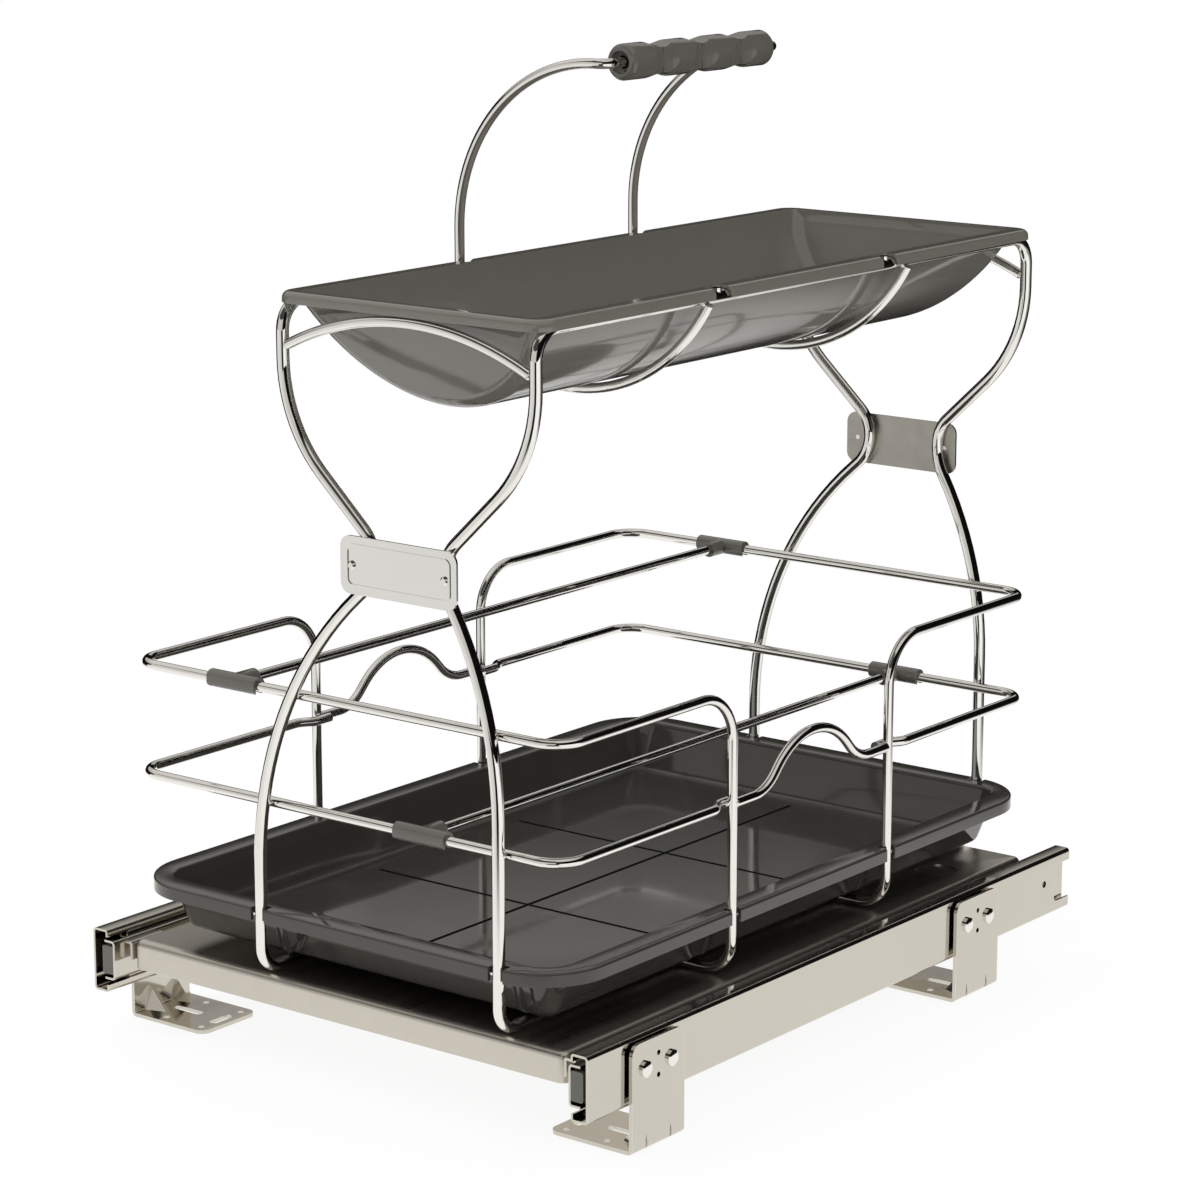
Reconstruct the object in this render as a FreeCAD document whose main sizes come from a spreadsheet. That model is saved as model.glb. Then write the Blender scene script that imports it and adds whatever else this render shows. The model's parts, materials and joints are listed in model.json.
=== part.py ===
import FreeCAD
import Part
import math
import os
import Sketcher

# Pull-out caddy for a sink cupboard: a sliding platform on two side slides carries a
# welded wire caddy with a lift-out top bin, a drop-in tray and two sliding dividers.
# Millimetres, +X to the right, +Y to the back, +Z up. The origin lies on the floor,
# under the middle of the slides.

os.makedirs("parts", exist_ok=True)
doc = FreeCAD.newDocument("PullOutCaddy")
sheet = doc.addObject("Spreadsheet::Sheet", "Sizes")
doc.recompute()


# Sizes and their expressions

class Size:
    """A length together with the sheet expression that gives it."""

    def __init__(self, value, text):
        self.value = float(value)
        self.text = text

    def __add__(self, other):
        other = as_size(other)
        return Size(self.value + other.value, f"({self.text} + {other.text})")

    def __sub__(self, other):
        other = as_size(other)
        return Size(self.value - other.value, f"({self.text} - {other.text})")

    def __mul__(self, other):
        other = as_size(other)
        return Size(self.value * other.value, f"({self.text} * {other.text})")

    def __truediv__(self, other):
        other = as_size(other)
        return Size(self.value / other.value, f"({self.text} / {other.text})")

    def __neg__(self):
        return Size(-self.value, f"(0 - {self.text})")

    def __radd__(self, other):
        return as_size(other) + self

    def __rsub__(self, other):
        return as_size(other) - self

    def __rmul__(self, other):
        return as_size(other) * self


def as_size(value):
    return value if isinstance(value, Size) else Size(value, repr(value))


names_before = set(globals())

# Wires and clearances
frame_wire = 6.5
slim_wire = 5.3
weld_bite = 0.11
plate_bite = 0.05
arch_end_gap = 0.45
rest_gap = 0.3
turn_gap = 0.08

# Slides
slide_length = 450
slide_face = 168.75
slide_floor = 24.5
slide_height = 35
slide_sheet = 1.2
slide_flange = 10.5
slide_lip = 4
slide_edge = 2.2
web_relief = 16
web_relief_height = 22
slide_hole = 4
slide_hole_inset = 27
ball_gap = 1.4
ball_rise = 1.8
middle_lip = 3.2
middle_setback = 17
middle_short = 20
inner_setback = 2
inner_short = 5
slide_stack = 13.5
inner_flange = 7.25
bumper_length = 12
bumper_height = 15.6
bumper_depth = 7.8

# Floor brackets
bracket_sheet = 2
bracket_width = 43
bracket_rise = 32.5
bracket_reach = 53.25
bracket_corner = 6
bracket_standoff = 1.5
bracket_front_inset = 52.5
bracket_back_inset = 103.25
foot_hole = 4.5
foot_hole_out = 46.25
foot_hole_in = 20.25
foot_hole_apart = 31
foot_slot_width = 5
cross_slot_length = 20
cross_slot_out = 21.75
long_slot_length = 16
gusset_spacing = 20
gusset_leg = 13
gusset_width = 9
gusset_tip = 0.8
dent_width = 3.6
dent_height = 9
dent_depth = 1.4
screw_spacing = 21.4
screw_rise = 18.2
screw_shank = 4.8
screw_head = 8.4
screw_head_rise = 2.2
screw_hole = 5
spacer_width = 9
pin_hole = 2.8
pin_hole_above = 5.6
pin_hole_below = 5.9

# Platform
deck_side_gap = 7.55
deck_front_inset = 8.4
deck_back_inset = 16
deck_rise = 30
deck_skirt = 16
deck_sheet = 1.5
deck_roll = 4
deck_corner = 5
dimple_width = 24
dimple_depth = 0.7
dimple_side_inset = 24.2
dimple_back_inset = 54.3
tab_length = 24
tab_height = 10
tab_rise = 18.5
tab_sheet = 1.5
tab_front_inset = 11.6
tab_back_inset = 34
rivet_shank = 3.9
rivet_hole = 4
rivet_head = 6.4
rivet_head_rise = 1.3

# Side loops of the caddy
loop_left_foot = 50.5
loop_right_foot = 108.7
loop_left_waist = 30.1
loop_right_waist = 76.9
loop_left_top = 28
loop_right_top = 133.5
loop_left_shoulder = 206
loop_right_shoulder = 220.9
waist_low = 276
waist_high = 295.4
flare_drop = 61.4
loop_top = 410.4
foot_bend = 12
rail_bend = 15
shoulder_bend = 205
left_waist_bend = 23
right_waist_bend = 31
waist_top_bend = 20
flare_bend = 77

# Basket
basket_side_inset = 4.2
basket_inset = 11.6
basket_top = 208
basket_middle = 148.2
basket_corner = 16
basket_leg = 72
basket_shoulder = 26
basket_foot_bend = 17
joggle_start = 15
joggle_stop = 7
joggle_past = 5
joggle_bend = 8
wave_rise = 24.8
wave_slope = 46
wave_crest_bend = 44
wave_base_bend = 26
ring_height = 86.6
ring_corner = 23

# Arches, cradles and handle
arch_rise = 17.7
arch_drop = 21.4
cradle_along = 89.5
cradle_drop = 52.4
cradle_end_drop = 2
handle_along = 75
handle_drop = 10.4
handle_rise = 111.6
handle_bend = 90
handle_corner = 6
grip_length = 136
grip_width = 18.8
grip_groove_pitch = 34
grip_groove_depth = 1.4
grip_groove_width = 3
grip_scoop_depth = 2.4
grip_scoop_radius = 26
grip_mouth = 12
grip_mouth_depth = 1.5
grip_end_land = 0.4
stub_rise = 1.2

# Name plates, left bare
plate_length = 75
plate_height = 29.5
plate_sheet = 1.3
plate_corner = 6
plate_across = 49.7
plate_drop = 2.2
plate_border = 4.5
plate_border_width = 1.2
plate_border_rise = 0.5
plate_rivet_spacing = 60
plate_rivet_head = 4.6
plate_rivet_rise = 1.1

# Top bin
bin_side_gap = 2.04
bin_wall = 2.2
bin_overhang = 7.9
bin_rim_wall = 1.3
bin_rim_corner = 12
bin_rim_roll = 3.6
bin_rim_width = 5.4
bin_end_slope = 26.3
bin_fillet = 12
bin_notch_width = 14
bin_notch_depth = 8.8

# Lower tray
tray_side_overhang = 3.5
tray_overhang = 9.1
tray_rim_corner = 38
tray_rim_sheet = 2.2
tray_lip = 5
tray_wall = 2.2
tray_fit = 0.9
tray_draft = 10.4
tray_floor = 61.8
tray_corner = 18
tray_foot_roll = 6
tray_mouth_roll = 1.6
flute_radius = 5.2
flute_depth = 1.4
tray_notch_side = 1.3
tray_groove_width = 1.6
tray_groove_depth = 0.6
groove_side_gap = 27.8
groove_end_gap = 23.9
tray_groove_offset = 62

# Dividers
clip_length = 33
clip_radius = 4.65
clip_stem = 14.4
clip_stem_width = 9
clip_mouth = 4.6
clip_flat = 0.5
socket_depth = 8
upper_divider_at = -71
lower_divider_at = 55

# Each value above becomes one row of the sheet and is used through its alias from here on
driving = {
    name: value
    for name, value in globals().items()
    if name not in names_before and type(value) in (int, float)
}
for row, (alias, value) in enumerate(driving.items(), 1):
    sheet.set(f"A{row}", alias)
    sheet.set(f"B{row}", str(value))
    sheet.setAlias(f"B{row}", alias)
    globals()[alias] = Size(value, f"Sizes.{alias}")
doc.recompute()

# Sizes that follow from the driving ones
inner_web = slide_face - slide_stack
middle_length = slide_length - middle_short
inner_length = slide_length - inner_short
bracket_front = slide_length / 2 - bracket_front_inset
bracket_back = slide_length / 2 - bracket_back_inset
bracket_height = slide_floor + bracket_rise
screw_height = slide_floor + screw_rise
pin_hole_high = screw_height + pin_hole_above
pin_hole_low = screw_height - pin_hole_below
deck_half = inner_web - deck_side_gap
deck_front = slide_length / 2 - deck_front_inset
deck_back = slide_length / 2 - deck_back_inset
deck_top = slide_floor + deck_rise
dimple_across = deck_half - dimple_side_inset
dimple_along = deck_back - dimple_back_inset
tab_floor = slide_floor + tab_rise
tab_front = deck_front - tab_front_inset
tab_pitch = (deck_front + deck_back - tab_front_inset - tab_back_inset) / 2
basket_half = deck_half - basket_side_inset
basket_depth = slide_length / 2 - basket_inset
flare_height = loop_top - flare_drop
plate_middle = (waist_low + waist_high) / 2 - plate_drop
arch_ends = loop_top - arch_drop
cradle_low = loop_top - cradle_drop
handle_start = loop_top - handle_drop
handle_top = loop_top + handle_rise
rail_half = (loop_right_top + loop_left_top) / 2
bin_rim_half = rail_half + frame_wire / 2 + rest_gap + bin_rim_wall
bin_rim_low = arch_drop - arch_rise - slim_wire / 2 - rest_gap
bin_rim_height = bin_rim_low + frame_wire / 2 + rest_gap + bin_rim_wall
bin_rim_depth = basket_depth + bin_overhang
cradle_sag = cradle_drop - cradle_end_drop
cradle_reach = rail_half + (frame_wire + slim_wire) / 2 - weld_bite * 2
cradle_radius = (cradle_reach * cradle_reach + cradle_sag * cradle_sag) / (cradle_sag * 2)
bin_half = rail_half - frame_wire / 2 - bin_side_gap
bin_drop = loop_top - cradle_low - slim_wire / 2 - rest_gap
bin_radius = (bin_half * bin_half + bin_drop * bin_drop) / (bin_drop * 2)
bin_end_top = bin_rim_depth - bin_rim_width
tray_rim_half = basket_half + tray_side_overhang
tray_rim_depth = basket_depth + tray_overhang
ring_half = basket_half - slim_wire + weld_bite
tray_half = ring_half - slim_wire / 2 - tray_fit
tray_depth = basket_depth - slim_wire / 2 - tray_fit
tray_groove_across = tray_half - groove_side_gap
tray_groove_along = tray_depth - groove_end_gap


# Drawing helpers

def bind(item, path, value):
    item.setExpression(path, as_size(value).text)


def new_body(name):
    body = doc.addObject("PartDesign::Body", name)
    body.Label = name
    return body


def origin_part(body, role):
    return [part for part in body.Origin.OriginFeatures if part.Role == role][0]


def new_sketch(body, name, role, height=None):
    """A sketch on one of the body's own origin planes, lifted along its normal."""
    sketch = body.newObject("Sketcher::SketchObject", name)
    sketch.AttachmentSupport = [(origin_part(body, role), "")]
    sketch.MapMode = "FlatFace"
    if height is not None:
        bind(sketch, "AttachmentOffset.Base.z", height)
    return sketch


def place_point(sketch, geometry, position, across, along):
    """Tie one point of the sketch to its two distances from the origin."""
    for kind, value in (("DistanceX", across), ("DistanceY", along)):
        value = as_size(value)
        rule = Sketcher.Constraint(kind, -1, 1, geometry, position, value.value)
        number = sketch.addConstraint(rule)
        bind(sketch, f"Constraints[{number}]", value)


def unit(vector):
    return vector * (1 / vector.Length)


def outline(sketch, corners):
    """A closed outline of straight sides. A corner with a third value is rounded."""
    spots = [FreeCAD.Vector(as_size(c[0]).value, as_size(c[1]).value, 0) for c in corners]
    radii = [as_size(c[2]) if len(c) > 2 else None for c in corners]
    count = len(corners)
    reach = []
    turns = []
    for at in range(count):
        before = unit(spots[at] - spots[at - 1])
        after = unit(spots[(at + 1) % count] - spots[at])
        turn = before.x * after.y - before.y * after.x
        turns.append(turn)
        half = math.acos(max(-1, min(1, before.dot(after)))) / 2
        trim = radii[at].value * math.tan(half) if radii[at] else 0
        reach.append((spots[at] - before * trim, spots[at] + after * trim))
    first = sketch.GeometryCount
    for at in range(count):
        sketch.addGeometry(Part.LineSegment(reach[at][1], reach[(at + 1) % count][0]))
    for at in range(count):
        before_line = first + (at - 1) % count
        after_line = first + at
        if radii[at] is None:
            rule = Sketcher.Constraint("Coincident", before_line, 2, after_line, 1)
            sketch.addConstraint(rule)
            place_point(sketch, after_line, 1, corners[at][0], corners[at][1])
            continue
        start, stop = reach[at]
        before = unit(spots[at] - spots[at - 1])
        side = FreeCAD.Vector(-before.y, before.x, 0) * (1 if turns[at] > 0 else -1)
        centre = start + side * radii[at].value
        ends = (start, stop) if turns[at] > 0 else (stop, start)
        angles = [math.atan2(end.y - centre.y, end.x - centre.x) for end in ends]
        circle = Part.Circle(centre, FreeCAD.Vector(0, 0, 1), radii[at].value)
        arc = sketch.addGeometry(Part.ArcOfCircle(circle, angles[0], angles[1]))
        arc_start, arc_stop = (1, 2) if turns[at] > 0 else (2, 1)
        sketch.addConstraint(Sketcher.Constraint("Tangent", before_line, 2, arc, arc_start))
        sketch.addConstraint(Sketcher.Constraint("Tangent", after_line, 1, arc, arc_stop))
        number = sketch.addConstraint(Sketcher.Constraint("Radius", arc, radii[at].value))
        bind(sketch, f"Constraints[{number}]", radii[at])
        point = sketch.addGeometry(Part.Point(spots[at]), True)
        sketch.addConstraint(Sketcher.Constraint("PointOnObject", point, 1, before_line))
        sketch.addConstraint(Sketcher.Constraint("PointOnObject", point, 1, after_line))
        place_point(sketch, point, 1, corners[at][0], corners[at][1])


def ring(sketch, across, along, diameter):
    """A circle tied to its centre and diameter."""
    across, along, diameter = as_size(across), as_size(along), as_size(diameter)
    centre = FreeCAD.Vector(across.value, along.value, 0)
    normal = FreeCAD.Vector(0, 0, 1)
    circle = sketch.addGeometry(Part.Circle(centre, normal, diameter.value / 2))
    number = sketch.addConstraint(Sketcher.Constraint("Diameter", circle, diameter.value))
    bind(sketch, f"Constraints[{number}]", diameter)
    place_point(sketch, circle, 3, across, along)


def rectangle(sketch, low_x, low_y, high_x, high_y, radius=None):
    more = () if radius is None else (radius,)
    outline(sketch, [
        (low_x, low_y) + more,
        (high_x, low_y) + more,
        (high_x, high_y) + more,
        (low_x, high_y) + more,
    ])


def slot(sketch, across, along, length, width, lengthwise):
    """A round-ended slot about its middle, along the sketch's x or y."""
    half_run = length / 2
    half_width = width / 2
    wide, tall = (half_run, half_width) if lengthwise else (half_width, half_run)
    radius = half_width - 0.001
    rectangle(sketch, across - wide, along - tall, across + wide, along + tall, radius)


def pad(body, sketch, length, symmetric=False, reverse=False):
    feature = body.newObject("PartDesign::Pad", sketch.Name + "_pad")
    feature.Profile = sketch
    bind(feature, "Length", length)
    feature.SideType = "Symmetric" if symmetric else "One side"
    feature.Reversed = reverse
    body.Tip = feature
    return feature


def pocket(body, sketch, length=None, symmetric=False, reverse=False):
    """Cut the sketch out of the body, right through when no length is given."""
    feature = body.newObject("PartDesign::Pocket", sketch.Name + "_cut")
    feature.Profile = sketch
    if length is None:
        feature.Type = "ThroughAll"
    else:
        bind(feature, "Length", length)
    feature.SideType = "Symmetric" if symmetric else "One side"
    feature.Reversed = reverse
    body.Tip = feature
    return feature


def edges_where(shape, test):
    """Names of the edges whose middle and box pass the test."""
    names = []
    for number, edge in enumerate(shape.Edges):
        middle = edge.valueAt((edge.FirstParameter + edge.LastParameter) / 2)
        if test(middle, edge.BoundBox):
            names.append(f"Edge{number + 1}")
    return names


def round_edges(body, radius, test):
    doc.recompute()
    base = body.Tip
    names = edges_where(base.Shape, test)
    feature = body.newObject("PartDesign::Fillet", base.Name + "_fillet")
    feature.Base = (base, names)
    bind(feature, "Radius", radius)
    body.Tip = feature
    return feature


def row_of(body, role, originals, pitch, count):
    """Repeat features along an origin axis at an even pitch."""
    feature = body.newObject("PartDesign::LinearPattern", originals[-1].Name + "_row")
    feature.Originals = originals
    feature.Direction = (origin_part(body, role), [""])
    bind(feature, "Length", pitch * (count - 1))
    feature.Occurrences = count
    body.Tip = feature
    return feature


def mirrored(name, source, normal):
    copy = doc.addObject("Part::Mirroring", name)
    copy.Label = name
    copy.Source = source
    copy.Normal = normal
    return copy


def turned(body, sketch, angle, reverse=False, axis="V_Axis"):
    """Turn a sketch about one of its own axes."""
    feature = body.newObject("PartDesign::Revolution", sketch.Name + "_turn")
    feature.Profile = sketch
    feature.ReferenceAxis = (sketch, [axis])
    bind(feature, "Angle", angle)
    feature.Reversed = reverse
    body.Tip = feature
    return feature


def vector(across, along, height):
    return FreeCAD.Vector(as_size(across).value, as_size(along).value, as_size(height).value)


def bent_wire(name, diameter, corners, closed=False):
    """A round wire of straight runs and tangent bends. A corner's fourth value is its bend."""
    spots = [vector(*corner[:3]) for corner in corners]
    count = len(spots)
    edges = []
    run = 0
    legs = range(count) if closed else range(count - 1)
    reach = []
    for at in range(count):
        if len(corners[at]) < 4:
            reach.append((spots[at], None, spots[at]))
            continue
        before = unit(spots[at] - spots[at - 1])
        after = unit(spots[(at + 1) % count] - spots[at])
        radius = as_size(corners[at][3]).value
        half = math.acos(before.dot(after)) / 2
        trim = radius * math.tan(half)
        inward = unit(after - before)
        crown = spots[at] + inward * (radius / math.cos(half) - radius)
        reach.append((spots[at] - before * trim, crown, spots[at] + after * trim))
        run += 2 * half * radius
    for at in legs:
        start = reach[at][2]
        stop = reach[(at + 1) % count][0]
        if start.distanceToPoint(stop) > 0.001:
            edges.append(Part.LineSegment(start, stop).toShape())
            run += start.distanceToPoint(stop)
        bend = reach[(at + 1) % count]
        if bend[1] is not None:
            edges.append(Part.Arc(*bend).toShape())
    path = Part.Wire(edges)
    start = edges[0].valueAt(edges[0].FirstParameter)
    direction = edges[0].tangentAt(edges[0].FirstParameter)
    radius = diameter.value / 2
    section = Part.Wire([Part.Circle(start, direction, radius).toShape()])
    shape = path.makePipeShell([section], True, False)
    ideal = math.pi * radius * radius * run
    print(name, "volume over section times length", round(shape.Volume / ideal, 5))
    wire = doc.addObject("Part::Feature", name)
    wire.Label = name
    wire.Shape = shape
    return wire


# Slides: the outer members stay, the middle and inner members run out to the front

slide_top = slide_floor + slide_height
slide_middle_height = slide_floor + slide_height / 2
middle_face = slide_face - slide_sheet - ball_gap
middle_top = slide_top - slide_sheet - ball_rise
middle_floor = slide_floor + slide_sheet + ball_rise
middle_edge = slide_face - slide_flange + slide_sheet + rest_gap
inner_top = middle_top - middle_lip - rest_gap
inner_floor = middle_floor + middle_lip + rest_gap


def channel(sketch, web, edge, floor, top, lip, toward):
    """A rolled channel: web, two flanges and their turned lips."""
    sheet_in = slide_sheet * toward
    outline(sketch, [
        (web, floor, slide_edge),
        (web, top, slide_edge),
        (edge, top, slide_sheet * 1.4),
        (edge, top - lip),
        (edge - sheet_in, top - lip),
        (edge - sheet_in, top - slide_sheet),
        (web + sheet_in, top - slide_sheet, slide_edge - slide_sheet),
        (web + sheet_in, floor + slide_sheet, slide_edge - slide_sheet),
        (edge - sheet_in, floor + slide_sheet),
        (edge - sheet_in, floor + lip),
        (edge, floor + lip),
        (edge, floor, slide_sheet * 1.4),
    ])


outer = new_body("slide_outer_right")
profile = new_sketch(outer, "outer_profile", "XZ_Plane")
channel(profile, slide_face, slide_face - slide_flange, slide_floor, slide_top, slide_lip, -1)
pad(outer, profile, slide_length, symmetric=True)
relief = new_sketch(outer, "outer_relief", "YZ_Plane")
relief_half = web_relief_height / 2
rectangle(
    relief,
    slide_length / 2 - web_relief,
    slide_middle_height - relief_half,
    slide_length / 2 + web_relief,
    slide_middle_height + relief_half,
    3,
)
ring(relief, slide_length / 2 - slide_hole_inset, slide_middle_height + 2, slide_hole)
pocket(outer, relief, slide_face * 3, symmetric=True)
screw_holes = new_sketch(outer, "outer_screw_holes", "YZ_Plane")
for middle in (-bracket_front, bracket_back):
    for side in (-1, 1):
        ring(screw_holes, middle + screw_spacing / 2 * side, screw_height, screw_hole)
pocket(outer, screw_holes, slide_face * 3, symmetric=True)
mirrored("slide_outer_left", outer, (1, 0, 0))

middle_member = new_body("slide_middle_right")
profile = new_sketch(middle_member, "middle_profile", "XZ_Plane", slide_length / 2 - middle_setback)
channel(profile, middle_face, middle_edge, middle_floor, middle_top, middle_lip, -1)
pad(middle_member, profile, middle_length, reverse=True)
mirrored("slide_middle_left", middle_member, (1, 0, 0))

inner = new_body("slide_inner_right")
profile = new_sketch(inner, "inner_profile", "XZ_Plane", slide_length / 2 - inner_setback)
inner_sheet = slide_sheet
inner_reach = inner_web + inner_flange
outline(profile, [
    (inner_web, inner_floor, slide_edge),
    (inner_reach, inner_floor),
    (inner_reach, inner_floor + inner_sheet),
    (inner_web + inner_sheet, inner_floor + inner_sheet, slide_edge - inner_sheet),
    (inner_web + inner_sheet, inner_top - inner_sheet, slide_edge - inner_sheet),
    (inner_reach, inner_top - inner_sheet),
    (inner_reach, inner_top),
    (inner_web, inner_top, slide_edge),
])
pad(inner, profile, inner_length, reverse=True)
rivet_height = tab_floor + tab_height / 2
tab_holes = new_sketch(inner, "inner_rivet_holes", "YZ_Plane")
for place in range(3):
    ring(tab_holes, tab_pitch * place - tab_front, rivet_height, rivet_hole)
pocket(inner, tab_holes, slide_face * 3, symmetric=True)
mirrored("slide_inner_left", inner, (1, 0, 0))

bumper = new_body("bumper_right")
block = new_sketch(bumper, "bumper_block", "XZ_Plane", slide_length / 2 - inner_setback)
bumper_half = bumper_height / 2
rectangle(
    block,
    inner_web + inner_sheet,
    slide_middle_height - bumper_half,
    inner_web + inner_sheet + bumper_depth,
    slide_middle_height + bumper_half,
    1.2,
)
pad(bumper, block, bumper_length, reverse=True)
mirrored("bumper_left", bumper, (1, 0, 0))


# Brackets: an angle with a slotted foot, two pressed gussets and two screws to the slide

bracket_face = slide_face + bracket_standoff + bracket_sheet
bracket_inside = bracket_face - bracket_sheet
foot_end = bracket_face - bracket_reach


def bracket(name, middle, quarter_turns):
    """One bracket, drawn at the right side and turned half round for the left."""
    body = new_body(name)
    side = new_sketch(body, name + "_angle", "XZ_Plane")
    outline(side, [
        (foot_end, 0),
        (bracket_face, 0, bracket_sheet * 1.5),
        (bracket_face, bracket_height),
        (bracket_inside, bracket_height),
        (bracket_inside, bracket_sheet, bracket_sheet * 0.5),
        (foot_end, bracket_sheet),
    ])
    pad(body, side, bracket_width, symmetric=True)
    levels = []
    for level, height, reach, width in (
        ("low", bracket_sheet / 2, gusset_leg, gusset_width),
        ("high", bracket_sheet + gusset_leg, gusset_tip, gusset_tip),
    ):
        plan = new_sketch(body, name + "_gusset_" + level, "XY_Plane", height)
        outline(plan, [
            (bracket_inside + bracket_sheet / 2, (gusset_spacing + width) / -2),
            (bracket_inside + bracket_sheet / 2, (gusset_spacing - width) / -2),
            (bracket_inside - reach, gusset_spacing / -2),
        ])
        levels.append(plan)
    gusset = body.newObject("PartDesign::AdditiveLoft", name + "_gusset")
    gusset.Profile = levels[0]
    gusset.Sections = [levels[1]]
    gusset.Ruled = True
    body.Tip = gusset
    row_of(body, "Y_Axis", [gusset], gusset_spacing, 2)
    half = bracket_width / 2
    round_edges(
        body,
        bracket_corner,
        lambda middle_of, box: abs(abs(middle_of.y) - half.value) < 0.01
        and (
            (abs(middle_of.z - bracket_height.value) < 0.01 and box.XLength > 1)
            or (abs(middle_of.x - foot_end.value) < 0.01 and box.ZLength > 1)
        )
        and box.YLength < 0.01,
    )
    holes = new_sketch(body, name + "_foot_holes", "XY_Plane", bracket_sheet * 2)
    hole_half = foot_hole_apart / 2
    for across in (foot_hole_out, foot_hole_in):
        for along in (-hole_half, hole_half):
            ring(holes, bracket_face - across, along, foot_hole)
    slot(holes, bracket_face - cross_slot_out, 0, cross_slot_length, foot_slot_width, True)
    slot(holes, bracket_face - foot_hole_out, 0, long_slot_length, foot_slot_width, False)
    pocket(body, holes, bracket_sheet * 3)
    bores = new_sketch(body, name + "_side_holes", "YZ_Plane")
    for along in (-1, 1):
        ring(bores, screw_spacing / 2 * along, screw_height, screw_hole)
    ring(bores, 0, pin_hole_high, pin_hole)
    ring(bores, 0, pin_hole_low, pin_hole)
    pocket(body, bores, bracket_face * 3, symmetric=True)
    dents = new_sketch(body, name + "_dents", "YZ_Plane", bracket_face)
    for along in (-1, 1):
        middle_line = gusset_spacing / 2 * along
        outline(dents, [
            (middle_line - dent_width / 2, bracket_sheet / -2),
            (middle_line + dent_width / 2, bracket_sheet / -2),
            (middle_line, dent_height),
        ])
    pocket(body, dents, dent_depth)
    angle = 180 * quarter_turns
    body.Placement = FreeCAD.Placement(
        FreeCAD.Vector(0, 0, 0), FreeCAD.Rotation(FreeCAD.Vector(0, 0, 1), angle)
    )
    bind(body, "Placement.Base.y", middle)
    return body


bracket("bracket_front_right", -bracket_front, 0)
bracket("bracket_front_left", -bracket_front, 1)
bracket("bracket_rear_right", bracket_back, 0)
bracket("bracket_rear_left", bracket_back, 1)


def dome(sketch, inner_end, outer_end, shank, head, rise, low_head=None):
    """Half section of a round-headed pin about the sketch's x axis, head at the far end."""
    shoulder = head / 2 * 0.62
    points = [
        (inner_end, 0),
        (outer_end + rise, 0),
        (outer_end + rise, shoulder),
        (outer_end + rise * 0.6, head / 2),
        (outer_end, head / 2),
        (outer_end, shank / 2),
    ]
    if low_head is None:
        points.append((inner_end, shank / 2))
    else:
        points[0] = (inner_end - rise, 0)
        points += [
            (inner_end, shank / 2),
            (inner_end, head / 2),
            (inner_end - rise * 0.6, head / 2),
            (inner_end - rise, shoulder),
        ]
    outline(sketch, points)


def pin_row(name, inner_end, outer_end, pin_sizes, first, pitch, count, height, both_heads):
    """Round-headed pins along X, drawn at one side, in a row along Y."""
    body = new_body(name)
    section = new_sketch(body, name + "_section", "XY_Plane", height)
    shank, head, rise = pin_sizes
    dome(section, inner_end, outer_end, shank, head, rise, both_heads)
    section_turn = turned(body, section, 360, axis="H_Axis")
    row_of(body, "Y_Axis", [section_turn], pitch, count)
    bind(body, "Placement.Base.y", first)
    return body


def both_sides(name, sources):
    """The sources and their mirror images about the middle plane, as one piece."""
    links = list(sources)
    for source in sources:
        links.append(mirrored(source.Name + "_mirrored", source, (1, 0, 0)))
    group = doc.addObject("Part::Compound", name)
    group.Label = name
    group.Links = links
    return group


screw_sizes = (screw_shank, screw_head, screw_head_rise)
screw_rows = []
for label, middle in (("front", -bracket_front), ("rear", bracket_back)):
    screw_rows.append(pin_row(
        "screws_" + label,
        slide_face - slide_sheet,
        bracket_face,
        screw_sizes,
        middle - screw_spacing / 2,
        screw_spacing,
        2,
        screw_height,
        None,
    ))
both_sides("bracket_screws", screw_rows)

washer_rows = []
for label, middle in (("front", -bracket_front), ("rear", bracket_back)):
    body = new_body("washers_" + label)
    disc = new_sketch(body, "washer_disc_" + label, "YZ_Plane", slide_face)
    ring(disc, 0, screw_height, spacer_width)
    ring(disc, 0, screw_height, screw_hole)
    washer = pad(body, disc, bracket_standoff)
    row_of(body, "Y_Axis", [washer], screw_spacing, 2)
    bind(body, "Placement.Base.y", middle - screw_spacing / 2)
    washer_rows.append(body)
both_sides("bracket_spacers", washer_rows)


# Platform: a pressed tray with rolled edges, hung from the inner members by side tabs

platform = new_body("platform")
deck = new_sketch(platform, "deck_outline", "XY_Plane", deck_top)
rectangle(deck, -deck_half, -deck_front, deck_half, deck_back, deck_corner)
pad(platform, deck, deck_skirt, reverse=True)
round_edges(platform, deck_roll, lambda spot, box: abs(spot.z - deck_top.value) < 0.01)
doc.recompute()
rolled = platform.Tip
bottom = [
    f"Face{number + 1}"
    for number, face in enumerate(rolled.Shape.Faces)
    if face.BoundBox.ZMax < (deck_top - deck_skirt).value + 0.01
]
shell = platform.newObject("PartDesign::Thickness", "deck_shell")
shell.Base = (rolled, bottom)
shell.Reversed = True
bind(shell, "Value", deck_sheet)
platform.Tip = shell
dimples = new_sketch(platform, "deck_dimples", "XY_Plane", deck_top)
for across in (-dimple_across, dimple_across):
    ring(dimples, across, dimple_along, dimple_width)
pocket(platform, dimples, dimple_depth)
deck_rivets = new_sketch(platform, "deck_rivet_holes", "YZ_Plane")
for place in range(3):
    ring(deck_rivets, tab_pitch * place - tab_front, rivet_height, rivet_hole)
pocket(platform, deck_rivets, deck_half * 3, symmetric=True)

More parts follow.
